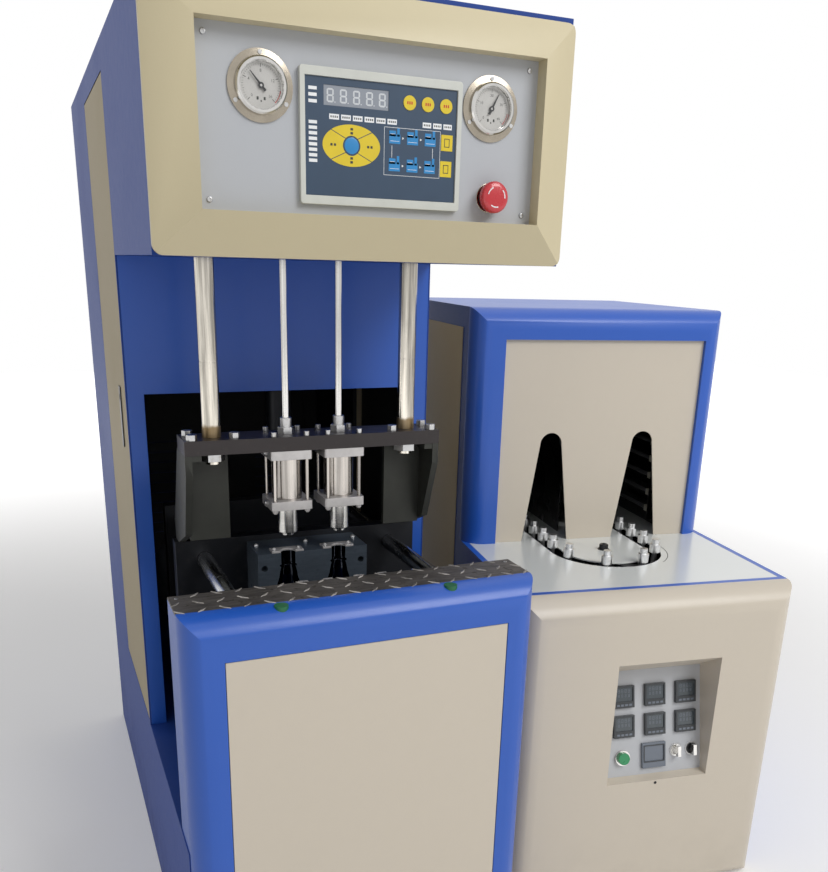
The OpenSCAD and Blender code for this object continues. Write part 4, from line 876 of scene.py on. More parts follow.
@dataclass
class Head:
    """Head over the press, with its moulded bezel, grey panel and emergency stop."""

    panel_y: float = -486.0
    stop: Pair = (171.0, 1366.0)
    stop_height: float = 25.2
    arrow_reach: float = 13.2
    arrow_step: float = 10.0
    screws: tuple[Pair, ...] = ((-226, 1345), (-226, 1533), (226, 1345), (226, 1533))

    def build(self) -> None:
        """Dresses the head, and adds the stop's washer and arrows and the panel's screws."""
        # Painted shade: the head's shell takes the blue darkened for its sides in shadow
        dress("head_shell", Finish.SHADED_BLUE, 0.8)
        dress("head_bezel", Finish.BEZEL, 1.6, sharp=25)
        dress("control_panel", Finish.PANEL, 0.4, (Finish.BLACK, lambda c, n: c.y < self.panel_y - 0.2))
        dress("stop_button", Finish.RED, sharp=50)
        x, z = self.stop
        washer, arrows, heads = Work(), Work(), Work()
        rim = ((14.2, 0.05), (19.5, 0.05), (19.5, 0.7), (18.9, 1.1), (14.8, 1.1), (14.2, 0.7), (14.2, 0.05))
        washer.turned(rim, facing(x, self.panel_y, z))
        washer.done("stop_washer", Finish.GAUGE, "control_panel")
        for start in (0, 120, 240):
            for step in range(5):
                at = facing(x, self.panel_y - self.stop_height, z) @ spin(start + self.arrow_step * step)
                arrows.bar(self.arrow_reach, 0, 1.5, 2.4, 0, 0.5, at)
        arrows.done("stop_arrows", Finish.PRINT_WHITE, "stop_button")
        for x, z in self.screws:
            heads.screw((x, self.panel_y + 0.05, z), (0, -1, 0), 3.6, 2.2)
        heads.done("panel_screws", Finish.ZINC, "control_panel")


@dataclass
class Gauges:
    """Both pressure gauges: cases, needles, glasses, and dials printed over 270 degrees."""

    dials: tuple[tuple[str, float, int], ...] = (("left", -157.0, 16), ("right", 167.0, 40))
    z: float = 1480.0
    face_y: float = -490.0
    radius: float = 26.6
    flange: float = 34.9
    ring_y: float = -489.05
    heads_y: float = -488.9
    steps: int = 4
    rim: float = 2.0
    number_inset: float = 10.0
    number_size: float = 5.0
    red_marks: int = 24
    ink: Pair = (0.25, 0.38)
    red_ink: Pair = (0.25, 0.34)

    def build(self) -> None:
        """Dresses the cases, needles and glasses, then builds each dial."""
        ring = (Finish.CHROME, lambda c, n: c.y < self.ring_y and self._reach(c) < self.flange)
        heads = (Finish.ZINC, lambda c, n: c.y < self.heads_y and self._reach(c) >= self.flange)
        dress("gauges", Finish.GAUGE, 0, ring, heads, sharp=30)
        dress("gauge_glasses", Finish.GLASS)
        for side, _, _ in self.dials:
            dress(f"needle_{side}", Finish.BLACK)
        for side, x, top in self.dials:
            self._dial(side, top, facing(x, self.face_y, self.z))

    def _reach(self, c: Vector) -> float:
        """Returns how far a point lies from the middle of its gauge."""
        return min(math.hypot(c.x - x, c.z - self.z) for _, x, _ in self.dials)

    def _dial(self, side: str, top: int, at: Matrix) -> None:
        """Adds one dial with its marks, numbers and red end.

        Args:
            side: which gauge it is.
            top: the number at the scale's end.
            at: where the drawing goes.
        """
        dial, marks, limit = Work(), Work(), Work()
        r = self.radius
        dial.turned([(1.7, 0.02), (r, 0.02), (r, 0.2), (r - 0.3, 0.3), (1.7, 0.3), (1.7, 0.02)], at)
        dial.done(f"{side}_dial", Finish.DIAL, "gauges")
        count = self.steps * 10
        for i in range(count + 1):
            wide, long = (0.7, 4.2) if i % 10 == 0 else (0.35, 3 if i % 5 == 0 else 2)
            marks.bar(0, r - self.rim - long / 2, wide, long, *self.ink, at @ spin(135 - 270 * i / count))
        for i in range(self.steps + 1):
            angle = math.radians(135 - 270 * i / self.steps)
            out = r - self.number_inset
            spot = move(-math.sin(angle) * out, math.cos(angle) * out, 0.3)
            marks.number(str(top * i // self.steps), self.number_size, at @ spot)
        for x, y, w, h in ((-4.5, -14.5, 2.6, 3.6), (4.5, -14.5, 2.6, 3.6), (0, -17.5, 1.6, 2.2)):
            marks.bar(x, y, w, h, *self.ink, at)
        marks.done(f"{side}_dial_marks", Finish.PRINT_DARK, "gauges")
        for i in range(self.red_marks):
            limit.bar(0, r - 1.1, 0.75, 1, *self.red_ink, at @ spin(1.5 * i - 135))
        limit.done(f"{side}_dial_limit", Finish.DIAL_RED, "gauges")


@dataclass(frozen=True)
class Fields:
    """A row or column of equal printed fields, with four dark marks in each if they have a width."""

    x: float
    z: float
    width: float
    height: float
    count: int
    step: Pair
    mark: float = 0.0
    mark_step: float = 0.0


@dataclass
class Controller:
    """Machine controller: raised frame, membrane face, display and printed keys."""

    node: str = "controller_face"
    face_y: float = -491.5
    display: tuple[float, ...] = (-75.6, 1464.9, 14.2, 1488.7)
    digit: Triple = (9.6, 16.5, 2.1)
    oval: tuple[float, ...] = (-37.5, 1419.2, 40.0, 25.0)
    oval_inset: float = 0.985
    oval_gap: float = 0.72
    hub: float = 11.5
    tiles: tuple[float, ...] = (10.5, 1388.0, 88.4, 1444.6)
    keys_x: Triple = (44.0, 70.5, 97.5)
    keys_z: float = 1477.0
    squares: tuple[Pair, ...] = ((100.3, 1432.0), (99.7, 1399.0))
    square: Pair = (17.0, 20.0)
    segment: Pair = (-0.1, 0.15)
    tile: Pair = (-0.05, 0.25)
    symbol: Pair = (0.2, 0.32)
    arrow: Pair = (-0.05, 0.2)
    outline: Pair = (-0.05, 0.12)
    label: Pair = (-0.05, 0.15)
    fields: tuple[Fields, ...] = (
        Fields(-61.6, 1452.2, 13.4, 6.4, 6, (16.2, 0), 1.6, 2.8),
        Fields(70.0, 1451.8, 12.6, 6.6, 3, (15.4, 0), 1.5, 2.6),
        Fields(-90.4, 1483.4, 11.2, 3.9, 3, (0, -7.5)),
        Fields(-90.4, 1444.1, 11.2, 3.9, 8, (0, -6.5)),
    )

    def build(self) -> None:
        """Dresses the housing, then adds the display, the keys and the printing."""
        dress("controller_frame", Finish.WHITE, 0.8)
        dress(self.node, Finish.NAVY, 0, (Finish.YELLOW, lambda c, n: c.y < self.face_y - 0.01))
        self._display()
        self._keys()
        self._tiles()
        self._printing()

    def _on_face(self, x: float, z: float) -> Matrix:
        """Returns the matrix of a drawing on the membrane."""
        return facing(x, self.face_y, z)

    def _display(self) -> None:
        """Adds the window with five seven-segment digits."""
        x0, z0, x1, z1 = self.display
        pane, digits = Work(), Work()
        pane.block((x0, self.face_y + 0.7, z0), (x1, self.face_y + 2.4, z1))
        pane.ease(0.3).done("display_window", Finish.WINDOW, self.node)
        w, h, t = self.digit
        tip, reach = w / 2 - t / 2, w / 2 - t
        across = ((-tip, 0), (-reach, t / 2), (reach, t / 2), (tip, 0), (reach, -t / 2), (-reach, -t / 2))
        low, high = t / 2 + 0.25, h / 2 - t * 0.8
        down = ((0, 0.25), (t / 2, low), (t / 2, high), (0, h / 2 - t * 0.3), (-t / 2, high), (-t / 2, low))
        for i in range(5):
            at = facing(x0 + (x1 - x0) * (i + 0.5) / 5, self.face_y + 0.7, (z0 + z1) / 2)
            for y in (-h / 2 + t / 2, 0, h / 2 - t / 2):
                digits.plate([(a, b + y) for a, b in across], *self.segment, at)
            for side, flip in ((-1, -1), (-1, 1), (1, -1), (1, 1)):
                digits.plate([(a + side * tip, b * flip) for a, b in down], *self.segment, at)
            back, front = self.segment
            point = at @ move(w / 2 + 1.6, -h / 2 + 0.8)
            digits.turned([(0, back), (0.8, back), (0.8, front), (0, front)], point, 12)
        digits.done("display_digits", Finish.DIGIT, self.node)

    def _keys(self) -> None:
        """Adds the oval pad in four parts, the blue key in its middle and two square keys."""
        x, z, rx, rz = self.oval
        at = self._on_face(x, z)
        pad, hub, squares = Work(), Work(), Work()
        for start in (45, 135, 225, 315):
            rim = arc(rx * self.oval_inset, rz * self.oval_inset, start, start + 90, 16)
            shift = sum(rim, Vector((0, 0))).normalized() * self.oval_gap
            outline = [*rim, *arc(self.hub, self.hub, start + 90, start, 8)]
            pad.plate([point + shift for point in outline], -0.05, 0.3, at)
        pad.done("oval_pad", Finish.YELLOW, self.node)
        hub.turned([(0, -0.05), (10, -0.05), (10, 0.35), (9.2, 0.7), (0, 0.8)], at, 48)
        hub.done("oval_hub", Finish.KEY_BLUE, self.node)
        for spot in self.squares:
            squares.bar(0, 0, *self.square, -0.05, 0.5, self._on_face(*spot))
        squares.ease(0.4).done("square_keys", Finish.YELLOW, self.node)

    def _tiles(self) -> None:
        """Adds the block of six blue tiles, its outline and the small arrows between them."""
        x0, z0, x1, z1 = self.tiles
        w, h = (x1 - x0) / 3, (z1 - z0)
        middle_x, middle_z = (x0 + x1) / 2, (z0 + z1) / 2
        block, lines = Work(), Work()
        for column in range(3):
            for share in (0.2, 0.8):
                at = self._on_face(x0 + w * (column + 0.5), z0 + h * share)
                block.bar(0, -1.5, w * 0.62, h * 0.2, *self.tile, at)
                block.bar(-w * 0.12, h * 0.09, w * 0.36, h * 0.12, *self.tile, at)
                block.bar(w * 0.2, h * 0.12, w * 0.14, h * 0.18, *self.tile, at)
                lines.bar(0, -1.5 - h * 0.045, w * 0.5, 0.5, *self.symbol, at)
                lines.bar(-w * 0.12, h * 0.08, w * 0.24, 0.5, *self.symbol, at)
                if column < 2:
                    lines.plate([(w * 0.42, -1.6), (w * 0.42, 1.6), (w * 0.52, 0)], *self.arrow, at)
        for x in (x0 + w * 0.35, x1 - w * 0.35):
            lines.bar(0, 0, 0.6, h * 0.26, *self.arrow, self._on_face(x, middle_z))
        for z in (z0 - 1, z1 + 1):
            lines.bar(0, 0, x1 - x0 + 4, 0.5, *self.outline, self._on_face(middle_x, z))
        for x in (x0 - 2, x1 + 2):
            lines.bar(0, 0, 0.5, h + 2, *self.outline, self._on_face(x, middle_z))
        block.done("station_tiles", Finish.KEY_BLUE, self.node)
        lines.done("station_lines", Finish.PRINT_WHITE, self.node)

    def _printing(self) -> None:
        """Adds the white label fields, and the fine marks in them and on the keys."""
        bars, marks, red = Work(), Work(), Work()
        for row in self.fields:
            for i in range(row.count):
                at = self._on_face(row.x + row.step[0] * i, row.z + row.step[1] * i)
                bars.bar(0, 0, row.width, row.height, *self.label, at)
                for j in range(4 if row.mark else 0):
                    marks.bar(row.mark_step * (j - 1.5), 0, row.mark, 2.4, 0.1, 0.22, at)
        bars.done("label_fields", Finish.PRINT_WHITE, self.node)
        x, z, _, _ = self.oval
        for way in (-1, 1):
            for pair in (-2.4, 2.4):
                marks.bar(pair, 0, 3, 3, 0.25, 0.42, self._on_face(x + 25.5 * way, z))
                marks.bar(0, pair, 3.6, 3, 0.25, 0.42, self._on_face(x, z + 17.5 * way))
        for spot in self.squares:
            for dx, dy, w, h in ((0, 5, 7, 0.9), (0, -5, 7, 0.9), (-3.5, 0, 0.9, 10.9), (3.5, 0, 0.9, 10.9)):
                marks.bar(dx, dy, w, h, 0.45, 0.62, self._on_face(*spot))
        marks.done("fine_marks", Finish.PRINT_DARK, self.node)
        for x in self.keys_x:
            for dx in (-3, 0, 3):
                red.bar(dx, 0, 1.7, 3.6, *self.label, facing(x, self.face_y - 1, self.keys_z))
        red.done("key_marks", Finish.DIAL_RED, self.node)


@dataclass
class Station:
    """Blowing station: crossbeam on two pillars, seal cylinders, nozzles and stretch rods."""

    tube_z: Pair = (868.1, 942.9)
    port_x: float = 86.4
    port_y: float = -175.0
    ports_z: Pair = (951, 860)
    plug_steps: Triple = (0.0, 2.6, 4.2)

    def build(self) -> None:
        """Dresses the station's steel and adds the cylinders' small fittings."""
        dress("guide_pillars", Finish.PILLAR, 0.5, sharp=30)
        dress("beam_fasteners", Finish.ZINC, 0.4)
        dress("crossbeam", Finish.BEAM, 0.8)
        dress("beam_brackets", Finish.BRACKET, 0.8)
        caps = (Finish.SATIN, lambda c, n: not self.tube_z[0] <= c.z <= self.tube_z[1])
        dress("seal_cylinders", Finish.TUBE_CHROME, 0.5, caps, sharp=30)
        for side in ("left", "right"):
            dress(f"nozzle_{side}", Finish.NOZZLE, 0.5, sharp=30)
        dress("stretch_beam", Finish.BLACKENED, 0.8)
        dress("stretch_rods", Finish.CHROME, sharp=30)
        dress("stretch_cylinder", Finish.BLACKENED, 0.8, sharp=30)
        self._ports()

    def _ports(self) -> None:
        """Adds the plugs of the air ports on the caps' sides."""
        ports = Work()
        for side in (-1, 1):
            for z in self.ports_z:
                seat, step, end = ((side * (self.port_x + out), self.port_y, z) for out in self.plug_steps)
                ports.rod(seat, step, 5.5, 5.5, 6)
                ports.rod(step, end, 4, 3.2, 16)
        ports.done("port_plugs", Finish.ZINC, "seal_cylinders")


@dataclass
class Clamp:
    """Horizontal clamp: platens, the two-cavity mould, tie bars and the pull cylinder."""

    axis: float = 49.0
    top: float = 762.0
    cavity: Pair = (36.0, 38.0)
    neck: float = 14.0
    neck_plate: Triple = (30.0, 24.0, 4.0)
    neck_screws: Pair = (23.0, 13.0)
    top_screws: tuple[Pair, ...] = ((-96, 55), (0, 55), (96, 55))
    bar_ends: Pair = (-464.0, 246.0)
    halves: tuple[tuple[str, float, int], ...] = (
        ("rear_mould_half", -175.0, 1), ("front_mould_half", -345.0, -1),
    )

    def build(self) -> None:
        """Dresses the clamp and adds the mould's neck plates and screws."""
        dress("rear_platen", Finish.BLACKENED, 1)
        dress("front_platen", Finish.BLACKENED, 1)
        for node, _, _ in self.halves:
            dress(node, Finish.MOULD, 0.8, (Finish.CAVITY, self._in_cavity), sharp=30)
        nuts = (Finish.ZINC, lambda c, n: not self.bar_ends[0] <= c.y <= self.bar_ends[1])
        dress("tie_bars", Finish.BAR, 0.5, nuts, sharp=30)
        dress("tail_plate", Finish.BLACKENED, 1)
        dress("clamp_cylinder", Finish.BLACKENED, 0.6, sharp=30)
        dress("clamp_rod", Finish.CHROME, 0.5, sharp=30)
        for half in self.halves:
            self._necks(*half)

    def _in_cavity(self, c: Vector, n: Vector) -> bool:
        """Tells whether a face is on the wall of a bottle cavity.

        Args:
            c: the face's middle.
            n: its normal.

        Returns:
            Whether it is.
        """
        _, face, way = min(self.halves, key=lambda half: abs(half[1] - c.y))
        reach, depth = self.cavity
        near = abs(abs(c.x) - self.axis) < reach
        return near and 0.4 < (c.y - face) * way < depth and n.y * way < -0.05

    def _necks(self, node: str, face: float, way: int) -> None:
        """Adds a plate round half of each neck, with two screws, and the mould's top screws.

        Args:
            node: the mould half.
            face: Y of its parting face.
            way: +1 if the half lies behind its face, -1 if in front.
        """
        plates, screws = Work(), Work()
        half, deep, thick = self.neck_plate
        outline = [(half, 0), (half, deep), (-half, deep), (-half, 0), *arc(self.neck, self.neck, 180, 0, 12)]
        aside, inset = self.neck_screws
        for x in (-self.axis, self.axis):
            at = move(x, face + way * 0.1, self.top) @ Matrix.Diagonal((1, way, 1, 1))
            plates.plate(outline, 0, thick, at)
            for dx in (-aside, aside):
                screws.screw((x + dx, face + way * inset, self.top + thick), (0, 0, 1), 3.4, 3.2)
        for x, inset in self.top_screws:
            screws.screw((x, face + way * inset, self.top), (0, 0, 1), 4.6, 4.4)
        plates.ease(0.5).done(f"{node}_necks", Finish.SATIN, node)
        screws.done(f"{node}_screws", Finish.ZINC, node)


@dataclass
class FrontBox:
    """Guard box in front of the clamp: moulded frame, cream panel, checker plate, start buttons."""

    pitch: float = 38.0
    slack: float = 8.0
    margin: Pair = (6.0, 5.0)
    lozenge: Triple = (11.5, 2.8, 1.3)
    taper: Pair = (0.8, 0.5)
    sunk: float = 0.02
    clear: Pair = (11.0, 22.0)
    wall: float = 1.2
    screw_inset: float = 12.0

    def build(self) -> None:
        """Dresses the box, lays the checker pattern and adds the plate's screws."""
        # Painted shade: near-black on the box's inner faces
        dress("front_box", Finish.BLUE, 0.5, (Finish.INNER_SHADE, self._inner))
        dress("front_frame", Finish.BLUE, sharp=30)
        dress("front_panel", Finish.CREAM, 0.8)
        dress("checker_plate", Finish.CHECKER, 0.5)
        for side in ("left", "right"):
            dress(f"start_button_{side}", Finish.START_GREEN, 0.4)
        low, high = span("checker_plate")
        ends = (low.x + self.screw_inset, high.x - self.screw_inset)
        self._lozenges(low, high, ends)
        screws = Work()
        head = ((0, -3.4), (3.1, -3.4), (3.1, 0), (2.6, 0.35), (1.4, 0.35), (1.2, -1.2), (0, -1.2))
        for x in ends:
            screws.turned(head, move(x, high.y - self.screw_inset, high.z), 24)
        screws.done("plate_screws", Finish.ZINC, "checker_plate")

    def _inner(self, c: Vector, n: Vector) -> bool:
        """Tells whether a face looks into the box.

        Args:
            c: the face's middle.
            n: its normal.

        Returns:
            Whether it does.
        """
        low, high = span("front_box")
        deep = all(low[i] + self.wall < c[i] < high[i] - self.wall for i in (0, 1))
        return deep and c.z < high.z - self.wall and n.dot((low + high) / 2 - c) > 0

    def _lozenges(self, low: Vector, high: Vector, ends: Pair) -> None:
        """Lays raised lozenges on the plate, each turned against its neighbours.

        Args:
            low: the plate's lowest corner.
            high: its highest corner.
            ends: x of its screws, which stay clear.
        """
        work = Work()
        long, wide, height = self.lozenge
        outline = ((long, 0), (0, wide), (-long, 0), (0, -wide))
        side, end = self.margin
        rows = int((high.y - low.y - self.slack) // self.pitch * 2)
        step = (high.y - low.y - 2 * end) / rows
        columns = int((high.x - low.x - 2 * side) // step)
        gap = (high.x - low.x - 2 * side) / columns
        near, deep = self.clear
        for row in range(rows + 1):
            for column in range(columns + 1):
                x, y = low.x + side + gap * column, low.y + end + step * row
                if any(abs(x - screw) < near and y > high.y - deep for screw in ends):
                    continue
                at = move(x, y, high.z) @ spin(45 if (row + column) % 2 else -45)
                work.plate(outline, -self.sunk, height - self.sunk, at, self.taper, closed=False)
        work.done("checker_lozenges", Finish.LOZENGE, "checker_plate", sharp=20)


@dataclass
class HeaterPanel:
    """Heater's recessed board with its temperature controllers, meter, button and switches."""

    columns: tuple[float, ...] = (247.0, 317.0, 387.0)
    rows: Pair = (168.0, 106.0)
    lines: tuple[Pair, ...] = ((12.5, 7.0), (2.6, 5.4))
    digits_x: Pair = (-11.5, 7.6)
    digit_ratio: float = 0.52
    stroke: float = 0.8
    keys_x: Pair = (-13.5, 9.0)
    keys_y: float = -16.4
    key: Pair = (6.4, 4.2)
    key_z: Pair = (7.9, 8.5)
    meter: Pair = (314.0, 40.0)
    pivot_y: float = -14.0
    pointer_angle: float = 0.62
    bezel_z: Pair = (6.9, 7.7)
    scale_z: Pair = (4.9, 5.2)
    pointer_z: Pair = (5.2, 5.4)
    switches: Pair = (367.0, 403.0)
    switch_up: float = 44.0
    split: float = 385.0
    proud: float = 0.2
    meter_top: float = 68.0
    panes: Pair = (5.5, 6.5)
    grip: float = 9.05
    screw: Triple = (309, -50.0, 276)

    def build(self) -> None:
        """Dresses the board's parts and adds windows, digits, keys and screws."""
        out = on_board(0, 0).inverted()
        low, high = self.panes
        collar = (Finish.CHROME, lambda c, n: (out @ c).z > self.proud and (out @ c).x < self.split)
        black = (Finish.BLACK, lambda c, n: (out @ c).z > self.proud and (out @ c).x > self.split)
        dress("heater_panel", Finish.BOARD, 0, collar, black)
        grey = (Finish.METER_GREY, lambda c, n: (out @ c).y < self.meter_top and (out @ c).z > self.proud)
        pane = (Finish.METER_FACE, lambda c, n: (out @ c).y > self.meter_top and low < (out @ c).z < high)
        dress("panel_meters", Finish.METER, 0.6, grey, pane)
        dress("run_button", Finish.GREEN, 1.2)
        dress("selector_left", Finish.CHROME, 0.8)
        dress("selector_right", Finish.CHROME, 0.8, (Finish.BLACK, lambda c, n: (out @ c).z < self.grip))
        self._readings()
        self._meter()
        self._fittings()

    def _readings(self) -> None:
        """Adds two rows of digits and four keys to each temperature controller."""
        digits, keys = Work(), Work()
        first, pitch = self.digits_x
        first_key, key_pitch = self.keys_x
        for at in (on_board(across, up) for across in self.columns for up in self.rows):
            for y, h in self.lines:
                for x in (first + pitch * i for i in range(4)):
                    w = h * self.digit_ratio
                    for dy in (-h / 2, 0, h / 2):
                        digits.bar(x, y + dy, w, self.stroke, 5.95, 6.15, at)
                    for dx in (-w / 2, w / 2):
                        digits.bar(x + dx, y, self.stroke, h, 5.95, 6.12, at)
            for i in range(4):
                keys.bar(first_key + key_pitch * i, self.keys_y, *self.key, *self.key_z, at)
        digits.done("controller_digits", Finish.METER_GREY, "panel_meters")
        keys.ease(0.25).done("controller_keys", Finish.METER_GREY, "panel_meters")

    def _meter(self) -> None:
        """Adds the grey meter's window, scale and pointer."""
        at = on_board(*self.meter)
        pivot = at @ move(0, self.pivot_y)
        frame, marks = Work(), Work()
        for x, y, w, h in ((0, 21.2, 46, 2.2), (0, -13.2, 46, 2.2), (-22.8, 4, 2.2, 34), (22.8, 4, 2.2, 34)):
            frame.bar(x, y, w, h, *self.bezel_z, at)
        frame.ease(0.3).done("meter_bezel", Finish.METER, "panel_meters")
        for i in range(21):
            marks.bar(0, 24, 0.5, 3.4 if i % 5 == 0 else 1.8, *self.scale_z, pivot @ spin(50 - 5 * i))
        marks.bar(0, 12, 0.6, 22, *self.pointer_z, pivot @ Matrix.Rotation(self.pointer_angle, 4, "Z"))
        marks.done("meter_scale", Finish.PRINT_DARK, "panel_meters")

    def _fittings(self) -> None:
        """Adds the washers of the switches and the small screw under the board."""
        washers, screw = Work(), Work()
        rim = ((12.1, 0), (14.5, 0), (14.5, 1.2), (13.8, 1.8), (12.1, 1.8), (12.1, 0))
        for across in self.switches:
            washers.turned(rim, on_board(across, self.switch_up), 36)
        washers.done("switch_washers", Finish.ZINC, "heater_panel")
        screw.screw(self.screw, (0, -1, 0), 3, 1.6, HEATER)
        screw.done("cover_screw", Finish.BLACK, "heater_cover")


@dataclass
class Heater:
    """Heater's cabinet, moulded cover, table and hood with its lamps."""

    width: float = 583.0
    back: float = 899.0
    table_top: float = 687.0
    loop: Pair = (295.0, 250.0)
    groove: float = 138.0
    cabinet_top: float = 680.5
    hood_front: float = 339.5
    hood_top: float = 1193.0
    lamps_y: Pair = (418.5, 841.5)
    side_sheet: tuple[Triple, Triple] = ((-1.5, 413, 120), (0.02, 860, 723))
    vents: tuple[tuple[str, str, Pair, float, float, int], ...] = (
        ("cabinet_louvres", "heater_cabinet", (145, 439), 110, 160, 10),
        ("hood_louvres", "hood_shell", (135, 449), 130, 947, 8),
    )
    vent_y: float = 900.0
    vent_pitch: float = 26.0
    seam_marks: int = 32
    grips: int = 18

    def build(self) -> None:
        """Dresses the heater, and adds the table's seam, the knob, the side sheet and the louvres."""
        turn = FROM_HEATER.to_3x3()
        # Painted shade: faces that look left take the darkened blue, and the inner walls near-black
        side = (Finish.SHADED_BLUE, lambda c, n: (turn @ n).x < -0.7)
        dress("heater_cabinet", Finish.BLUE, 0.8, side, self._within(1, self.cabinet_top))
        dress("heater_cover", Finish.CREAM, sharp=30)
        dress("table_top", Finish.TABLE, 0.4)
        dress("table_centre", Finish.TABLE, 0.4, (Finish.BLACK, lambda c, n: c.z > self.table_top + 0.2))
        dress("hood_frame", Finish.BLUE, sharp=30)
        # Painted shade: the hood's left panels take the darkened cream of the side in shadow
        shaded = (Finish.SHADED_CREAM, lambda c, n: (FROM_HEATER @ c).x < 1)
        dark = self._within(self.hood_front, self.hood_top)
        dress("hood_panels", Finish.CREAM, 0.5, shaded, dark)
        dress("hood_shell", Finish.BLUE, 0.8, side, dark)
        first, last = self.lamps_y
        ends = (Finish.CERAMIC, lambda c, n: not first < (FROM_HEATER @ c).y < last)
        # Painted shade: lamps and reflectors take darkened colours for the hood's inside
        dress("quartz_lamps", Finish.TUBE, 0.3, ends)
        dress("lamp_reflectors", Finish.SHADED_REFLECTOR, 0.3)
        self._seam()
        self._knob()
        # Painted shade: the left side sheet takes the darkened cream
        sheet = Work()
        sheet.block(*self.side_sheet, HEATER)
        sheet.ease(0.5).done("heater_side_panel", Finish.SHADED_CREAM, "hood_panels")
        for name, node, middles, width, low, count in self.vents:
            feet = [(x, self.vent_y, low + self.vent_pitch * i) for x in middles for i in range(count)]
            louvres(name, node, Finish.BLUE, width, feet, HEATER)

    def _within(self, front: float, top: float) -> Zone:
        """Returns the zone of painted shade on a housing's inner walls, behind a front and under a top.

        Args:
            front: y of the inner walls' front.
            top: height of their top.

        Returns:
            The zone.
        """

        def inside(c: Vector, n: Vector) -> bool:
            """Tells whether a face lies on the inner walls."""
            spot = FROM_HEATER @ c
            return 1 < spot.x < self.width and front < spot.y < self.back and spot.z < top

        return Finish.INNER_SHADE, inside

    def _seam(self) -> None:
        """Adds the dark seam that runs round the slot's right front."""
        seam = Work()
        for i in range(self.seam_marks):
            at = HEATER @ move(*self.loop, self.table_top) @ spin(13 - 2 * i)
            seam.bar(self.groove, 0, 1.6, 4.9, -0.05, 0.12, at)
        seam.done("table_seam", Finish.PRINT_DARK, "table_top")

    def _knob(self) -> None:
        """Adds the knob's grip ring and its screw."""
        knob = Work()
        at = HEATER @ move(*self.loop, self.table_top)
        knob.turned([(9.1, 0.1), (12.5, 0.1), (12.5, 1.2), (11.8, 1.8), (9.1, 1.8), (9.1, 0.1)], at, 40)
        for i in range(self.grips):
            knob.bar(9.3, 0, 0.9, 1.4, 3, 10.5, at @ spin(360 * i / self.grips))
        knob.screw((0, 0, 12), (0, 0, 1), 3.2, 2.2, at)
        knob.done("island_knob", Finish.BLACK, "table_centre")


@dataclass
class Conveyor:
    """Chain conveyor under the table, with the preform holders that ride above it."""

    chain_top: float = 631.6

    def build(self) -> None:
        """Dresses the chain, wheels, frame and motor, and the press's air tank."""
        holders = (Finish.HOLDER, lambda c, n: c.z > self.chain_top)
        for node in ("front_chain_wheel", "rear_chain_wheel", "chain_runs_left", "chain_runs_right"):
            dress(node, Finish.CHAIN, 0.3, holders, sharp=35)
        dress("conveyor_frame", Finish.FRAME, 0.6)
        dress("drive_motor", Finish.MOTOR, 0.8)
        dress("air_tank", Finish.TANK, 0.6, sharp=30)


# Studio


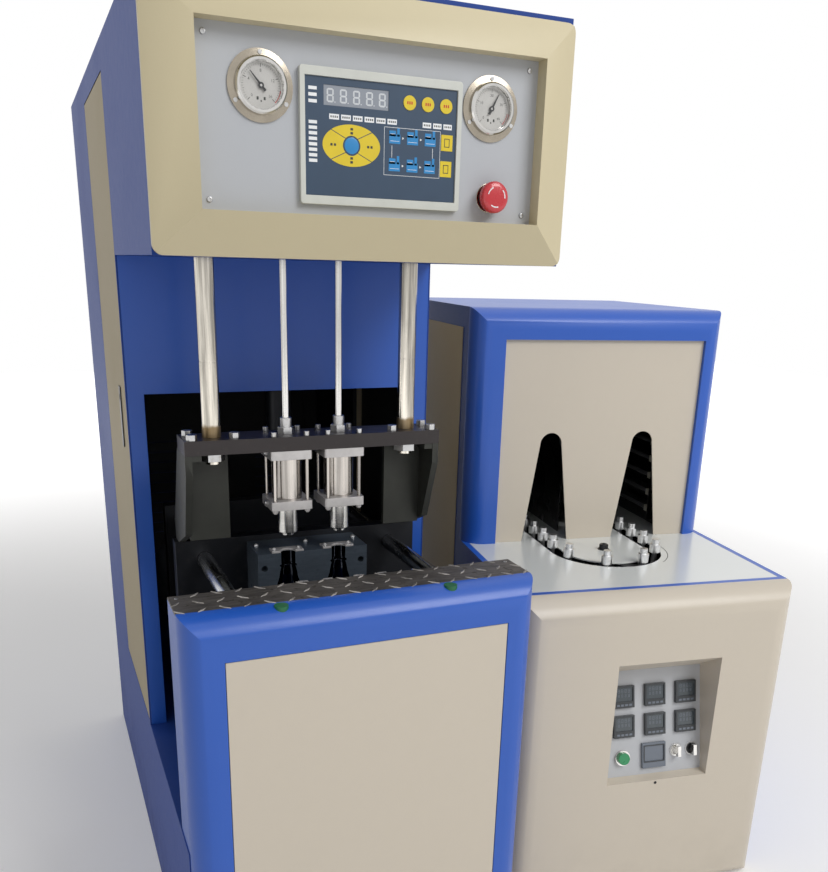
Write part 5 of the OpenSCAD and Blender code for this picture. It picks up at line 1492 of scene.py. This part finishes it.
@dataclass
class Studio:
    """Pale floor and backdrop, soft lights and the camera at the photograph's angle."""

    eye: Triple = (-0.46406, -1.71804, 1.27115)
    yaw: float = 23.47
    pitch: float = 18.5
    roll: float = 1.55
    focal_px: float = 895.64
    frame_px: Pair = (828, 872)
    axis_px: Pair = (414.0, 565.82)
    sensor: float = 36.0
    ambient: float = 0.38
    aim: Triple = (0.25, 0.0, 0.8)
    lamps: tuple[tuple[str, Triple, float, float], ...] = (
        ("key", (2.2, -3.8, 4.2), 2.4, 142),
        ("fill", (-1.8, -4.4, 2.2), 2.6, 8),
        ("top", (0.3, 0.2, 3.8), 2.8, 16),
    )

    def build(self) -> None:
        """Makes the floor, the lights, the world and the camera."""
        self._floor()
        for lamp in self.lamps:
            self._lamp(*lamp)
        self._world()
        self._camera()

    def _floor(self) -> None:
        """Lays a wide pale floor that turns white far from the object, for eye, gloss and glass."""
        g = Graph(bpy.data.materials.new("studio_floor"))
        cloud = g.noise(1.5, 4.0)
        far = (g.axis("X") ** 2 + g.axis("Y") ** 2) ** 0.5
        work = bmesh.new()
        bmesh.ops.create_grid(work, x_segments=4, y_segments=4, size=9)
        mesh = bpy.data.meshes.new("studio_floor")
        work.to_mesh(mesh)
        work.free()
        mesh.materials.append(g.surface(
            Base_Color=g.blend(cloud, (0.86, 0.85, 0.84), (0.92, 0.91, 0.90)),
            Roughness=0.6 + cloud * 0.1,
            Normal=g.bump(g.noise(90.0), 0.1, 0.001),
            Emission_Color=g.blend(g.seen() * (0.14 + far.above(1.2, 5.5) * 0.86), (0, 0, 0), (1, 1, 1)),
            Emission_Strength=1.0,
        ))
        floor = bpy.data.objects.new("studio_floor", mesh)
        floor.location = (0.3, 0.5, -0.0005)
        bpy.context.scene.collection.objects.link(floor)

    def _lamp(self, name: str, place: Triple, size: float, power: float) -> None:
        """Hangs a square light that looks at the machine.

        Args:
            name: its name.
            place: where it hangs.
            size: length of its side.
            power: its power in watts.
        """
        lamp = bpy.data.lights.new(name, "AREA")
        lamp.shape = "SQUARE"
        lamp.size = size
        lamp.energy = power
        holder = bpy.data.objects.new(name, lamp)
        holder.location = place
        holder.rotation_euler = (Vector(self.aim) - Vector(place)).to_track_quat("-Z", "Y").to_euler()
        bpy.context.scene.collection.objects.link(holder)

    def _world(self) -> None:
        """Gives soft light all round and a white background to the camera, gloss and glass."""
        world = bpy.data.worlds.new("studio")
        bpy.context.scene.world = world
        g = Graph(world)
        dim, bright = (
            g.value("ShaderNodeBackground", inputs={"Color": (1, 1, 1), "Strength": strength})
            for strength in (self.ambient, 1.0)
        )
        mix = g.value("ShaderNodeMixShader", inputs={0: g.seen(), 1: dim, 2: bright})
        g.value("ShaderNodeOutputWorld", inputs={"Surface": mix})

    def _camera(self) -> None:
        """Sets the camera where the photograph was taken from."""
        yaw, pitch, roll = (math.radians(a) for a in (self.yaw, self.pitch, self.roll))
        run = math.cos(pitch)
        forward = Vector((math.sin(yaw) * run, math.cos(yaw) * run, -math.sin(pitch)))
        level = Vector((math.cos(yaw), -math.sin(yaw), 0))
        right = level * math.cos(roll) + level.cross(forward) * math.sin(roll)
        up = right.cross(forward)
        data = bpy.data.cameras.new("photo_camera")
        camera = bpy.data.objects.new("photo_camera", data)
        rows = [[right[i], up[i], -forward[i], self.eye[i]] for i in range(3)]
        camera.matrix_world = Matrix([*rows, [0, 0, 0, 1]])
        width, height = self.frame_px
        data.sensor_width = self.sensor
        data.lens = self.focal_px / height * self.sensor
        data.shift_x = (width / 2 - self.axis_px[0]) / height
        data.shift_y = (self.axis_px[1] - height / 2) / height
        data.clip_start, data.clip_end = 0.05, 60
        bpy.context.scene.collection.objects.link(camera)
        bpy.context.scene.camera = camera


def main() -> None:
    """Builds the studio and dresses every sub-assembly in order."""
    logging.basicConfig(level=logging.INFO, format="%(name)s: %(message)s")
    Shop.open(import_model())
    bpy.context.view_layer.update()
    bpy.context.scene.view_settings.view_transform = "Standard"
    for part in (
        Studio(), BlowingCabinet(), Head(), Gauges(), Controller(), Station(), Clamp(), FrontBox(),
        Heater(), HeaterPanel(), Conveyor(),
    ):
        log.info("building %s", type(part).__name__)
        part.build()


if __name__ == "__main__":
    main()
